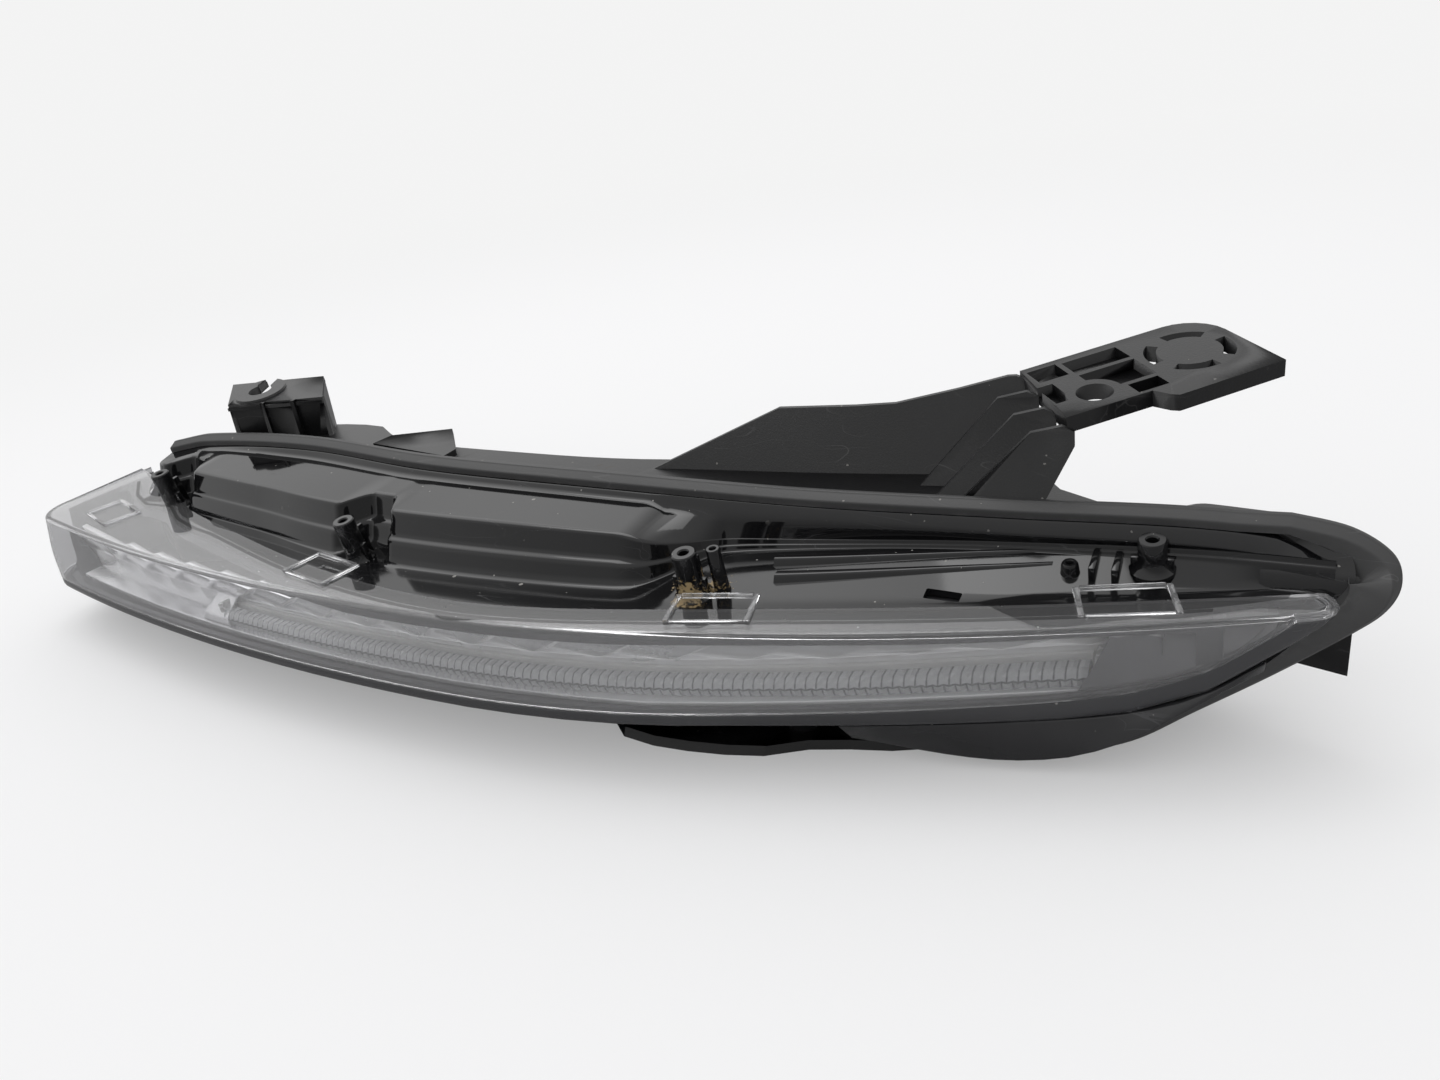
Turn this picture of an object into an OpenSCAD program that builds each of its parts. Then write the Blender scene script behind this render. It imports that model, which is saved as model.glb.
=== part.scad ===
// Slim daytime running light with its carrier, deck trim and mounting arm.
// x runs along the lamp, y points back into the car and z is up.
// Tables pair a share of the lamp's length with a size in millimetres.

/* [Lamp] */
// Overall length, from the left end of the lens to the tip of the seal
lamp_len = 606; // [540:1:680]
// Reach of the crease in front of the origin, at mid length
front_reach = 91; // [84:1:100]
// Set-back of the crease at the left end
bow_left = 40; // [30:1:50]
// Set-back of the crease at the right end
bow_right = 72; // [62:1:80]
// Height of the lens crease above the floor
crease_z = 60; // [57:1:66]

/* [Outer lens] */
// Wall of the clear lens
lens_t = 2.5; // [2:0.1:3]
// Height of the lower edge of the clear face, at mid length
face_low = 28; // [26:1:30]
// Forward bulge of the face at its lower edge
face_bulge = 4; // [2:0.5:6]
// Radius of the lens corner at the left end, in plan
corner_r = 18; // [12:1:24]
// Lean of the left end of the lens, in plan
end_lean = 6; // [3:1:9]
// Length of one snap tab
tab_len = 30; // [24:1:34]
// Reach of a snap tab behind the flange
tab_reach = 9; // [7:0.5:11]
// Height of the black band moulded under the clear face, at mid length
band_h = 5; // [4:0.5:6]
// Thickness of the black band
band_t = 4; // [3:0.5:5]

/* [Deck] */
// Wall of the glossy deck
deck_t = 2.5; // [2:0.1:3]
// Length by which the deck slides under the lens flange
deck_tuck = 5; // [4:0.5:6]
// Rise of the double step along the left half
step_rise = 17; // [14:1:20]
// Depth of the notches round the screw bosses
notch_depth = 13; // [9:1:16]
// Length of the notches round the screw bosses
notch_len = 34; // [28:1:40]
// Outer diameter of the screw bosses
boss_d = 9; // [8:0.5:11]
// Diameter of the screw holes in the bosses
boss_bore = 3.6; // [3:0.1:4.5]
// Height of the screw bosses in the notches
boss_h = 19; // [15:1:21]
// Height of the screw boss near the right end
end_boss_h = 11; // [8:1:14]

/* [Seal] */
// Height of the sealing lip along the top
seal_h = 5; // [4:0.5:7]
// Depth of the sealing lip, front to back
seal_t = 6; // [5:0.5:8]
// Width of the sealing lip round the right end
seal_end_w = 14; // [11:0.5:16]

/* [Carrier] */
// Wall of the carrier's shell
carrier_t = 3; // [2.5:0.1:4]
// Lean of the bosses, the arm and the bracket towards the front
lean = 8; // [4:1:12]
// Thickness of the ribs and gussets
rib_t = 2.1; // [1.6:0.1:3]

/* [Mounting arm] */
// Height of the fixing hole's rim above the floor
arm_z = 107; // [102:1:116]
// Thickness of the arm plate
arm_t = 6; // [5:0.5:8]
// Turn of the arm plate from the lamp's length
arm_turn = 40; // [34:1:46]
// Diameter of the fixing hole
arm_bore = 12.4; // [10:0.2:14]
// Outer diameter of the collar round the fixing hole
arm_collar = 19; // [17:0.5:22]
// Outer diameter of the ring of slots
ring_d = 30; // [26:1:31]
// Width of the slots in that ring
ring_slot = 4.2; // [3:0.2:5]
// Distance between neighbouring gussets
gusset_pitch = 12.8; // [11:0.2:14]

/* [Bracket] */
// Length of the left bracket
bracket_len = 54; // [48:1:60]
// Depth of the left bracket
bracket_depth = 26; // [22:1:30]
// Height of the front edge of the left bracket's seat above the floor
bracket_z = 96; // [92:1:104]
// Turn of the left bracket from the lamp's length
bracket_turn = 17; // [12:1:22]
// Width of the keyhole slot in the seat
bracket_slot = 7; // [6:0.5:9]

/* [Housing] */
// Wall of the sealed housing
shell_t = 2.5; // [2:0.1:3]
// Depth of the housing behind the lens flange
shell_depth = 48; // [44:1:50]
// Height of the housing's floor
shell_low = 14; // [12:1:16]
// Width of the sealing bead under the lens flange
bead_t = 2; // [1.5:0.1:2.5]

/* [Light] */
// Diameter of the light guide
guide_d = 8; // [6:0.5:9]
// Height of the light guide's axis
guide_z = 34; // [33:0.5:37]
// Length of one prism tooth on the light guide
tooth_pitch = 3.4; // [3:0.1:5]
// Depth of the prism teeth
tooth_depth = 0.9; // [0.6:0.1:1.2]
// Length of one step of the stepped reflector
cell_len = 27; // [24:1:36]
// Offset between neighbouring faces of the stepped reflector
cell_step = 3; // [2:0.5:4]
// Thickness of the reflector and the guide's channel
trim_t = 2; // [1.6:0.1:2.4]

/* [Electronics] */
// Thickness of the circuit boards
board_t = 1.6; // [1.2:0.1:2]
// Length of the driver's case
driver_len = 70; // [60:1:80]
// Length of the heat sink
sink_len = 60; // [50:1:70]
// Diameter of the vent cap
vent_d = 14; // [12:0.5:18]
// Width of the connector socket
plug_w = 24; // [20:1:28]

/* [Hidden] */
half = lamp_len/2;
fine = 0.001;
tip_u = 0.957;

// Place along the lamp for a share of its length
function at(u) = (u - 0.5)*lamp_len;
function share(x) = x/lamp_len + 0.5;
function mix(a, b, f) = a + (b - a)*f;
function clamp(v) = max(0, min(1, v));

// Smooth curve through a table of pairs
function seg(t, x, i = 0) = i >= len(t) - 2 || x <= t[i + 1][0] ? i : seg(t, x, i + 1);
function grade(t, i) =
    let (a = max(i - 1, 0), b = min(i + 1, len(t) - 1))
    (t[b][1] - t[a][1])/(t[b][0] - t[a][0]);
function curve(t, x) =
    let (i = seg(t, x), w = t[i + 1][0] - t[i][0], f = clamp((x - t[i][0])/w))
    t[i][1]*(2*f*f*f - 3*f*f + 1) + t[i + 1][1]*(3*f*f - 2*f*f*f)
    + w*grade(t, i)*(f*f*f - 2*f*f + f) + w*grade(t, i + 1)*(f*f*f - f*f);

// Plan and height curves of the lamp
flange_table = [[0, 62], [0.05, 57], [0.088, 43], [0.13, 48], [0.16, 41], [0.24, 33], [0.39, 17],
    [0.51, 11], [0.70, 17], [0.86, 16], [0.98, 12]];
rim_y_table = [[0.085, 4], [0.12, 12], [0.25, 8], [0.40, -8], [0.55, -12], [0.69, -8], [0.81, -2],
    [0.92, 2], [0.98, 1]];
rim_z_table = [[0.085, 80], [0.12, 82], [0.25, 85], [0.40, 86], [0.55, 85], [0.69, 81], [0.81, 79],
    [0.92, 78], [0.98, 74]];
function crease_y(u) = -front_reach
    + (u > 0.5 ? bow_right*pow(2*u - 1, 1.8) : bow_left*pow(1 - 2*u, 2));
function flange_y(u) = crease_y(u) + curve(flange_table, u);
function rim_y(u) = curve(rim_y_table, u);
function rim_z(u) = curve(rim_z_table, u);
flange_low = crease_z - lens_t;
function low_z(u) =
    u > 0.8 ? face_low + (flange_low - face_low)*pow(min(1, (u - 0.8)/(tip_u - 0.8)), 4)
    : face_low - 2*pow(max(0, 0.3 - u)/0.3, 2);
function band_height(u) = band_h*(1 + 0.6*clamp((u - 0.7)/0.2));
bulge_table = [[0, 1], [0.5, 1], [0.62, 0.75], [0.70, -0.25], [0.78, -1.2], [0.86, -2], [0.957, -2]];
function bulge_at(u) =
    face_bulge*curve(bulge_table, u)*(flange_low - low_z(u))/(flange_low - face_low);
function slope_at(u) = (crease_y(u + fine) - crease_y(u))/(fine*lamp_len);
// Share whose normal meets the lower edge of the face above the place u
function below(u) = u - bulge_at(u)*slope_at(u)/lamp_len;
function edge_low(u) = low_z(below(u));
function band_low(u) = edge_low(u) - band_height(u);

// Closed solid through a row of rings with equal numbers of points
module loft(rings) {
    m = len(rings[0]);
    n = len(rings);
    sides = [for (i = [0:n - 2]) for (j = [0:m - 1])
        let (k = (j + 1)%m, a = i*m + j, b = i*m + k, c = a + m, d = b + m)
        each [[a, c, b], [b, c, d]]];
    polyhedron([for (r = rings) each r],
        concat([[for (j = [0:m - 1]) j]], sides, [[for (j = [m - 1:-1:0]) (n - 1)*m + j]]));
}
// Ring of a lengthwise loft: points [y, z] stood up at one place along the lamp
function ring_at(u, pts) = [for (i = [len(pts) - 1:-1:0]) [at(u), pts[i][0], pts[i][1]]];

// Outline of the lens in plan, from the right tip round to the back of the left end
corner_u = corner_r/lamp_len;
corner_start = 270 + atan(slope_at(corner_u));
corner_mid = [at(corner_u), crease_y(corner_u)] - corner_r*[cos(corner_start), sin(corner_start)];
left_x = corner_mid[0] - corner_r;
tip = [at(tip_u), crease_y(tip_u)];
lens_path = concat(
    [tip + [7, 15], tip + [10, 9], tip + [7, 3]],
    [for (i = [0:27]) let (u = mix(tip_u, corner_u + 0.01, i/27)) [at(u), crease_y(u)]],
    [for (i = [0:5]) let (a = mix(corner_start, 180, i/5)) corner_mid + corner_r*[cos(a), sin(a)]],
    [[left_x + end_lean/2, mix(corner_mid[1], flange_y(0), 0.5)], [left_x + end_lean, flange_y(0)]]);
function normal(path, i) =
    let (d = path[min(i + 1, len(path) - 1)] - path[max(i - 1, 0)])
    [-d[1], d[0]]/norm(d);
function edge_z(p) = low_z(max(0, share(p[0])));

// Wall that follows the lens outline, between two offsets and two heights
module path_wall(profile) {
    loft([for (i = [len(lens_path) - 1:-1:0])
        let (p = lens_path[i], n = normal(lens_path, i))
        [for (q = profile(p)) [p[0] + n[0]*q[0], p[1] + n[1]*q[0], q[1]]]]);
}

lens_wall = function (p)
    let (z = edge_z(p), b = bulge_at(clamp(share(p[0]))), m = mix(z, crease_z, 0.45))
    [[0, crease_z], [0.7*b + 0.6, m], [b, z], [b - lens_t, z], [0.7*b + 0.6 - lens_t, m],
     [-lens_t, crease_z - fine]];

// Snap tabs: share of the length and distance from the rear edge of the flange
tab_places = [[0.09, -22], [0.376, 0], [0.67, 0], [0.88, 0]];

module snap_tab(p) {
    u = p[0];
    y = flange_y(u) + p[1];
    slope = atan((flange_y(u + 0.01) - flange_y(u - 0.01))/(0.02*lamp_len));
    translate([at(u), y, crease_z]) rotate([0, 0, slope]) {
        difference() {
            translate([-tab_len/2, -tab_reach, -lens_t/2]) cube([tab_len, 2*tab_reach, lens_t*1.1]);
            translate([-tab_len/2 + 3, -1, -lens_t]) cube([tab_len - 6, tab_reach - 2, 3*lens_t]);
        }
        translate([-tab_len/2, tab_reach - 2, 0]) cube([tab_len, 2, lens_t]);
        for (s = [-1, 1])
            translate([s*(tab_len/2 - 1) - 1, -tab_reach, 0]) cube([2, 2*tab_reach, lens_t]);
    }
}

module outer_lens() {
    notch_r = boss_d/2 + 2;
    y = step_y(boss_places[0]) - boss_back + 3;
    color([0.80, 0.81, 0.84, 0.45]) {
        path_wall(lens_wall);
        translate([0, 0, flange_low]) linear_extrude(lens_t) difference() {
            polygon(concat(lens_path, [for (i = [0:48])
                let (u = mix(0.012, 0.965, i/48)) [at(u), flange_y(u)]]));
            translate([at(boss_places[0]), y]) {
                circle(r = notch_r, $fn = 40);
                translate([-notch_r - 3, 0]) square([2*notch_r + 6, 4*notch_r]);
            }
        }
        for (p = tab_places) snap_tab(p);
    }
}

band_wall = function (p)
    let (z = edge_z(p), h = band_height(share(p[0]))*(share(p[0]) > tip_u + fine ? 0.3 : 1),
         b = bulge_at(clamp(share(p[0]))))
    [[b, z], [b, z - 0.6*h], [b - 1.2, z - h], [b - band_t, z - h], [b - band_t, z]];

module lens_band() {
    color([0.10, 0.10, 0.11]) path_wall(band_wall);
}

// Stepped section of the glossy deck
step_in_table = [[0.085, 20], [0.1, 28], [0.15, 41], [0.29, 49], [0.40, 47], [0.59, 42], [0.61, 38],
    [0.645, 14], [0.98, 10]];
step_share_table = [[0.085, 0.9], [0.15, 1], [0.59, 1], [0.645, 0.25], [0.98, 0.2]];
floor_rise_table = [[0.085, 0], [0.6, 0], [0.66, 3], [0.8, 6], [0.98, 6]];
tuck_table = [[0.075, 1], [0.9, 1], [0.98, -0.6]];
foot_z = flange_low;
boss_places = [0.13, 0.385];
boss_back = 13;
function notch(u) = notch_depth*max([for (b = boss_places)
    clamp(1.6*(1 - abs(u - b)*lamp_len*2/notch_len))]);
function step_y(u) = rim_y(u) - curve(step_in_table, u) + notch(u);
function deck_front(u) = flange_y(u) - deck_tuck*curve(tuck_table, u);
function foot_end(u) = min(flange_y(u) + tab_reach + 1, step_y(u) - 1);
function floor_z(u) = foot_z + max(0, curve(floor_rise_table, u));
function rim_seat(u) = rim_z(u) - seal_h - 160*max(0, u - 0.945);
function deck_top(u) =
    let (h = step_rise*curve(step_share_table, u), y = step_y(u), z = floor_z(u))
    [[deck_front(u), foot_z], [foot_end(u), foot_z], [y, z], [y + 0.16*h, z + 0.45*h],
     [y + 0.33*h, z + 0.52*h], [y + 0.48*h, z + h], [y + 0.56*h, z + 1.04*h],
     [rim_y(u) - seal_t - 3, max(rim_z(u) - 10, z + 1.1*h)], [rim_y(u) - seal_t, rim_seat(u)],
     [rim_y(u), rim_seat(u)]];
deck_low = function (u)
    let (t = deck_top(u), n = len(t) - 1)
    [for (i = [n:-1:0]) i < 2 || i == n ? t[i] - [0, deck_t - (i == 1 ? 0.1 : 0)]
        : t[i] + [i > n - 2 ? 0.3 : 0.75*deck_t, -deck_t]];
seal_ends = [0.088, 0.925];
deck_shares = [for (i = [0:57]) mix(seal_ends[0], seal_ends[1], i/54)];

function deck_z(u, y) =
    mix(foot_z, floor_z(u), clamp((y - foot_end(u))/(step_y(u) - foot_end(u))));
module bored(d, h, bore, depth) {
    difference() {
        cylinder(d = d, h = h, $fn = 32);
        translate([0, 0, h - depth]) cylinder(d = bore, h = depth + 1, $fn = 32);
    }
}
module screw_boss(u, y, h) {
    translate([at(u), y, deck_z(u, y) - deck_t/2]) rotate([lean, 0, 0]) {
        bored(boss_d, h + deck_t/2, boss_bore, h - 2);
        translate([-rib_t/2, boss_d/2 - 1, 0]) cube([rib_t, boss_d/2 + 3, 0.75*h]);
        for (s = [0, 1]) mirror([s, 0, 0]) translate([boss_d/2 - 1, -rib_t/2, 0])
            cube([boss_d/2 + 2, rib_t, 0.5*h]);
    }
}
module hollow_pin(u, y, h) {
    translate([at(u), y, deck_z(u, y) - deck_t/2]) rotate([lean, 0, 0]) bored(5, h, 2.2, 8);
}
// Long tapered ribs on the right half of the deck, given by their ends and their set-back from the rim
spear_ribs = [[0.683, 0.836, 20, 8], [0.69, 0.838, 30, 14]];
module spear_rib(r) {
    loft([for (i = [0:4])
        let (u = mix(r[0], r[1], i/4), w = mix(3.4, 1.4, i/4), y = rim_y(u) - mix(r[2], r[3], i/4),
             z = deck_z(u, y))
        ring_at(u, [[y - w, z - 1], [y - w/2, z + w - 1], [y + w/2, z + w - 1], [y + w, z - 1]])]);
}
deck_slot = [0.787, 12, 5];
module deck_bezel() {
    color([0.03, 0.03, 0.035]) {
        difference() {
            loft([for (u = deck_shares) ring_at(u, concat(deck_top(u), deck_low(u)))]);
            translate([at(deck_slot[0]) - deck_slot[1]/2, foot_end(deck_slot[0]) - 1, foot_z])
                cube([deck_slot[1], deck_slot[2], boss_h]);
        }
        for (u = boss_places) screw_boss(u, step_y(u) - boss_back, boss_h);
        screw_boss(0.648, rim_y(0.648) - 43, boss_h - 1);
        screw_boss(0.888, rim_y(0.888) - 13, end_boss_h);
        hollow_pin(0.663, rim_y(0.663) - 39, boss_h);
        for (r = spear_ribs) spear_rib(r);
        hollow_pin(0.848, rim_y(0.848) - 17, 5);
        for (x = [0, 7]) translate([at(0.858) + x, rim_y(0.858) - 20, deck_z(0.858, rim_y(0.858) - 20) - 1])
            rotate([lean, 0, 0]) cube([rib_t, 11, 6]);
    }
}

// Ribbon of the sealing lip: its outer edge, with the ribbon's width as the last value
function hermite(a, b, c, d, f) =
    b*(2*f*f*f - 3*f*f + 1) + c*(3*f*f - 2*f*f*f)
    + (c - a)/2*(f*f*f - 2*f*f + f) + (d - b)/2*(f*f*f - f*f);
function smooth_row(p, n) =
    [for (i = [0:len(p) - 2]) for (k = [0:n - 1])
        hermite(p[max(i - 1, 0)], p[i], p[i + 1], p[min(i + 2, len(p) - 1)], k/n), p[len(p) - 1]];
seal_hook = smooth_row([[half - 30, 2, 78, 0], [half - 14, 1, 75, 0.3], [half - 3, -2, 69, 0.8],
    [half, -6, 62, 1], [half - 3, -9, 54, 0.9], [half - 12, -12, 46, 0.6], [half - 32, -17, 31.5, 0.1],
    [half - 52, -25.5, 20.5, -0.1], [half - 70, -32.5, 10.5, -0.2], [half - 89, -36.5, 5.5, -0.2]], 3);
seal_path = concat(
    [for (i = [0:27]) let (u = mix(seal_ends[0], seal_ends[1], i/27)) [at(u), rim_y(u), rim_z(u), 0]],
    seal_hook);
module edge_seal() {
    n = len(seal_path);
    color([0.09, 0.09, 0.095])
        loft([for (i = [0:n - 1])
            let (p = seal_path[i], a = seal_path[max(i - 1, 0)], b = seal_path[min(i + 1, n - 1)],
                 d = [b[0] - a[0], b[2] - a[2]]/norm([b[0] - a[0], b[2] - a[2]]),
                 w = mix(seal_h, seal_end_w, p[3]) - 0.1)
            [for (q = [[0, 0], [0, -seal_t], [w, -seal_t], [w, 0]])
                [p[0] + d[1]*q[0], p[1] + q[1], p[2] - d[0]*q[0]]]]);
}

// Open shell of the carrier: top panel, back wall and tray
back_table = [[0.1, 36], [0.16, 46], [0.26, 46], [0.31, 28], [0.45, 20], [0.55, 22], [0.66, 38],
    [0.80, 50], [0.835, 24], [0.9, 17], [0.96, 14]];
tray_z_table = [[0.1, 42], [0.18, 20], [0.25, 0], [0.86, 0], [0.92, 14], [0.96, 32]];
tray_front_table = [[0.1, 16], [0.2, 0], [0.3, -36], [0.36, -46], [0.56, -50], [0.58, -60], [0.60, -68],
    [0.68, -64], [0.72, -52], [0.75, -49], [0.85, -24], [0.96, 4]];
function panel_z(u) = rim_seat(u) - deck_t - 0.1;
function back_y(u) = curve(back_table, u);
function tray_z(u) = max(0, curve(tray_z_table, u));
function tray_front(u) = curve(tray_front_table, u);
carrier_shares = [for (i = [0:36]) mix(0.1, 0.945, i/36)];
function carrier_outer(u) =
    let (z = panel_z(u))
    [[rim_y(u) - seal_t + 1, z], [rim_y(u) + 1, z], [back_y(u), z - 2], [back_y(u), tray_z(u)],
     [tray_front(u), tray_z(u)]];
past = 60;
function carrier_inner(u) =
    let (z = panel_z(u) - carrier_t, low = tray_z(u) + carrier_t, b = back_y(u) - carrier_t)
    [[rim_y(u) - past, z], [rim_y(u) + 1, z], [b, z - 2], [b, low], [tray_front(u) - past, low]];
module carrier_shell() {
    n = len(carrier_shares) - 1;
    difference() {
        loft([for (u = carrier_shares) ring_at(u, carrier_outer(u))]);
        loft([for (i = [0:n]) let (u = carrier_shares[i])
            ring_at(u + (i == 0 ? -0.01 : i == n ? 0.01 : 0), carrier_inner(u))]);
    }
}

// Arm plate, with the fixing hole at its own origin
plate_left = -12;
plate_back = 30;
plate_neck = -10.3;
plate_front = -18;
plate_end = 59;
neck_end = 15;
ring_at_plate = [40.5, 8];
plate_round = 15;
arm_y = 25.5;
arm_x = at(0.848);
module arm_frame() {
    translate([arm_x, arm_y, arm_z]) rotate([lean, 0, 0]) rotate([0, 0, arm_turn]) children();
}
module plate_outline() {
    polygon(concat(
        [[plate_left, plate_back]],
        [for (a = [90:-15:0])
            [plate_end - plate_round, plate_back - plate_round] + plate_round*[cos(a), sin(a)]],
        [[plate_end, plate_front + 1], [neck_end + 5, plate_front], [neck_end + 3, plate_front + 2],
         [neck_end, plate_neck], [plate_left - 4, plate_neck]]));
}
module pocket(x0, x1, y0, y1) {
    translate([x0, y0, 2 - arm_t]) cube([x1 - x0, y1 - y0, arm_t]);
}
module arm_plate() {
    difference() {
        union() {
            difference() {
                translate([0, 0, -arm_t]) linear_extrude(arm_t) plate_outline();
                pocket(-11, 0, 17, 27);
                pocket(2, 23, 16, 26);
                pocket(2, 23, 0, 14);
                pocket(-14, -8, 0, 14);
                pocket(11, 22, -9, -2);
            }
            translate([0, 0, -arm_t]) cylinder(d = arm_collar, h = arm_t, $fn = 48);
        }
        translate([0, 0, -2*arm_t]) cylinder(d = arm_bore, h = 3*arm_t, $fn = 48);
        for (k = [0:3]) translate(concat(ring_at_plate, -2*arm_t)) rotate([0, 0, 90*k - 53])
            linear_extrude(3*arm_t) intersection() {
                difference() {
                    circle(d = ring_d, $fn = 64);
                    circle(d = ring_d - 2*ring_slot, $fn = 64);
                }
                polygon([[0, 0], [ring_d, 0], [ring_d, ring_d], [ring_d*0.55, ring_d]]);
            }
    }
}
// Upright webs from the panel to the left edge of the plate, from the back one forwards
web_turn = 10;
web_count = 4;
web_foot = 4;
plate_corner = [cos(arm_turn)*plate_left - sin(arm_turn)*plate_back,
                cos(lean)*(sin(arm_turn)*plate_left + cos(arm_turn)*plate_back)];
function edge_x(n) = n*(tan(arm_turn - web_turn) - 0.1);
function edge_top(n) = arm_z + sin(lean)*(plate_corner[1] - cos(web_turn)*n);
module web(n, pts) {
    translate([arm_x, arm_y, panel_z(0.8)]) translate([plate_corner[0], plate_corner[1], 0])
        rotate([0, 0, web_turn]) translate([0, -n, 0])
            rotate([90, 0, 0]) linear_extrude(rib_t) polygon(pts);
}
module arm() {
    h = edge_top(0) - panel_z(0.8);
    arm_frame() arm_plate();
    web(rib_t/2, [[-156, -web_foot], [-156, 0], [-90, 0.75*h], [-60, 0.74*h], [-45, 0.75*h],
        [-22, 0.87*h], [-4, 0.98*h], [-1, 0.98*h], [4, h - arm_t/2], [4, -web_foot]]);
    for (i = [1:web_count - 1])
        let (n = i*gusset_pitch, e = edge_x(n), z = edge_top(n) - panel_z(0.8))
            web(n, [[e - 42, -web_foot], [e - 42, 0], [e - 13, z - 3], [e - 3, z - 1],
                [e + 1, z - arm_t/2], [e + 1, z - arm_t - 2], [e - 11, 0], [e - 11, -web_foot]]);
}

// Left bracket, with the front left corner of its seat at its own origin
bracket_x = at(0.1436);
bracket_skew = 12;
seat = [12, 13];
seat_d = 26;
bracket_y = 16;
module bracket() {
    d = bracket_depth;
    t = carrier_t;
    drop = bracket_z - panel_z(0.16) + 5;
    translate([bracket_x, bracket_y, bracket_z]) rotate([0, 0, bracket_turn]) {
        difference() {
            union() {
                rotate([lean, 0, 0]) {
                    translate([0, 0, -t]) linear_extrude(t) polygon([[0, 0], [bracket_len, 0],
                        [bracket_len - bracket_skew, d], [-bracket_skew, d]]);
                    translate([seat[0], seat[1], -t]) cylinder(d = seat_d, h = t + 1.2, $fn = 48);
                }
                translate([0, 0, -drop]) cube([bracket_len, rib_t, drop]);
                for (x = [0, bracket_len - rib_t])
                    translate([x, 0, 0]) rotate([0, 0, atan(bracket_skew/d)]) rotate([90, 0, 90])
                        linear_extrude(rib_t) polygon([[-4, -drop], [0, -t/2],
                            [d, d*tan(lean) - t/2], [d*0.7, -drop]]);
                for (x = [0.36, 0.68]) translate([x*bracket_len, -rib_t, -drop])
                    cube([rib_t, rib_t + 1, drop]);
                translate([0, -1.2, -t]) cube([bracket_len, 2, 1.6]);
            }
            rotate([lean, 0, 0]) translate([seat[0], seat[1], -2*t]) {
                cylinder(d = bracket_slot + 5, h = 3*t, $fn = 48);
                translate([-bracket_slot/2, 0, 0]) cube([bracket_slot, d, 3*t]);
            }
        }
    }
}

// Raised ledge behind the rim and the hooked tab at the right end, both in plan
ledge = [[-108, 4.5], [-106, 15], [-78, 26], [-57, 3], [-57, -5]];
ledge_z = 84;
end_tab = [[246, 17], [263, 4], [292, -5], [292, -2.5], [265, 7], [254, 17]];
end_tab_z = [26, 46];
// Screws that hold the housing: share of the length and set-back
standoff_places = [[0.36, -36], [0.52, -40], [0.70, -44]];
module carrier() {
    color([0.11, 0.11, 0.12]) {
        difference() {
            union() {
                carrier_shell();
                for (p = standoff_places) translate([at(p[0]), p[1], 1])
                    cylinder(d = boss_d + 3, h = shell_low - 1, $fn = 32);
            }
            for (p = standoff_places) translate([at(p[0]), p[1], -1]) {
                cylinder(d = boss_bore, h = shell_low + 2, $fn = 32);
                cylinder(d = head_d + 1, h = head_seat + 1, $fn = 32);
            }
            translate([at(plug_u) - plug_w/2 - fit, plug_y - 3*carrier_t, plug_z - plug_h/2 - fit])
                cube([plug_w + 2*fit, 6*carrier_t, plug_h + 2*fit]);
        }
        translate([0, 0, ledge_z - carrier_t]) linear_extrude(carrier_t) polygon(ledge);
        for (x = [-104, -80, -61]) translate([x, rim_y(share(x)) + 1.5, panel_z(0.36) - carrier_t])
            cube([rib_t, 9, ledge_z - panel_z(0.36) + carrier_t - 1]);
        translate([0, 0, end_tab_z[0]]) linear_extrude(end_tab_z[1] - end_tab_z[0]) polygon(end_tab);
        arm();
        bracket();
    }
}

// Glossy skirt below the band along the right half
skirt_y_table = [[0.74, -58], [0.81, -50], [0.853, -45], [0.885, -41], [0.914, -34], [0.947, -25],
    [0.98, -16]];
skirt_z_table = [[0.74, 11], [0.81, 5], [0.853, 7], [0.885, 15], [0.914, 26], [0.947, 38], [0.98, 52]];
module lower_skirt() {
    color([0.03, 0.03, 0.035])
        loft([for (i = [0:16]) let (u = mix(0.74, 0.945, i/16),
            y = crease_y(u) + (1.4 - bulge_at(u))*sqrt(1 + pow(slope_at(u), 2)),
            z = band_low(u) - 0.2, yb = curve(skirt_y_table, u), zb = curve(skirt_z_table, u))
            ring_at(u, [[y, z], [y + deck_t, z], [yb + deck_t, min(z - 2, zb)], [yb, min(z - 2.5, zb)]])]);
}

// Sealed housing behind the lens
depth_table = [[0, 0], [0.06, 0.02], [0.16, 0.45], [0.3, 0.85], [0.45, 1], [0.75, 0.95], [0.93, 0.6]];
fit = 0.3;
belly = 20;
end_in = min(bulge_at(0) - band_t, -lens_t) - fit;
left_in = left_x - end_in;
function front_in(u) =
    let (r = corner_r + end_in, x = at(u) - corner_mid[0])
    x < 0 ? corner_mid[1] - sqrt(max(0, r*r - x*x))
        : crease_y(u) + (band_t + fit - bulge_at(u))*sqrt(1 + pow(slope_at(u), 2));
function shell_back(u) = min(flange_y(u) + shell_depth*curve(depth_table, u),
    corner_mid[1] + (flange_y(0) - corner_mid[1])*(at(u) - left_in)/end_lean);
function shell_floor(u) = max(shell_low, band_low(u) - 9);
shell_top = foot_z - deck_t;
function lip_front(u) = min(shell_back(u) - 2*shell_t - 1,
    max(flange_y(u) - deck_tuck - 5, crease_y(u) + lens_t + 1.5 - 0.5*min(0, bulge_at(u))));
function shell_knee(u) = front_in(u) + min(belly, 0.6*(shell_back(u) - front_in(u)));
function shell_outer(u) =
    let (a = front_in(u), b = shell_back(u), f = shell_floor(u))
    [[lip_front(u), shell_top], [b, shell_top], [b, f], [shell_knee(u), f], [a, band_low(u)],
     [a, edge_low(u) + 1]];
function shell_inner(u) =
    let (t = shell_t, a = front_in(u) + t, b = shell_back(u) - t, f = shell_floor(u) + t)
    [[a, shell_top - t], [b, shell_top - t], [b, f], [shell_knee(u), f], [a, band_low(u) + t]];
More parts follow.
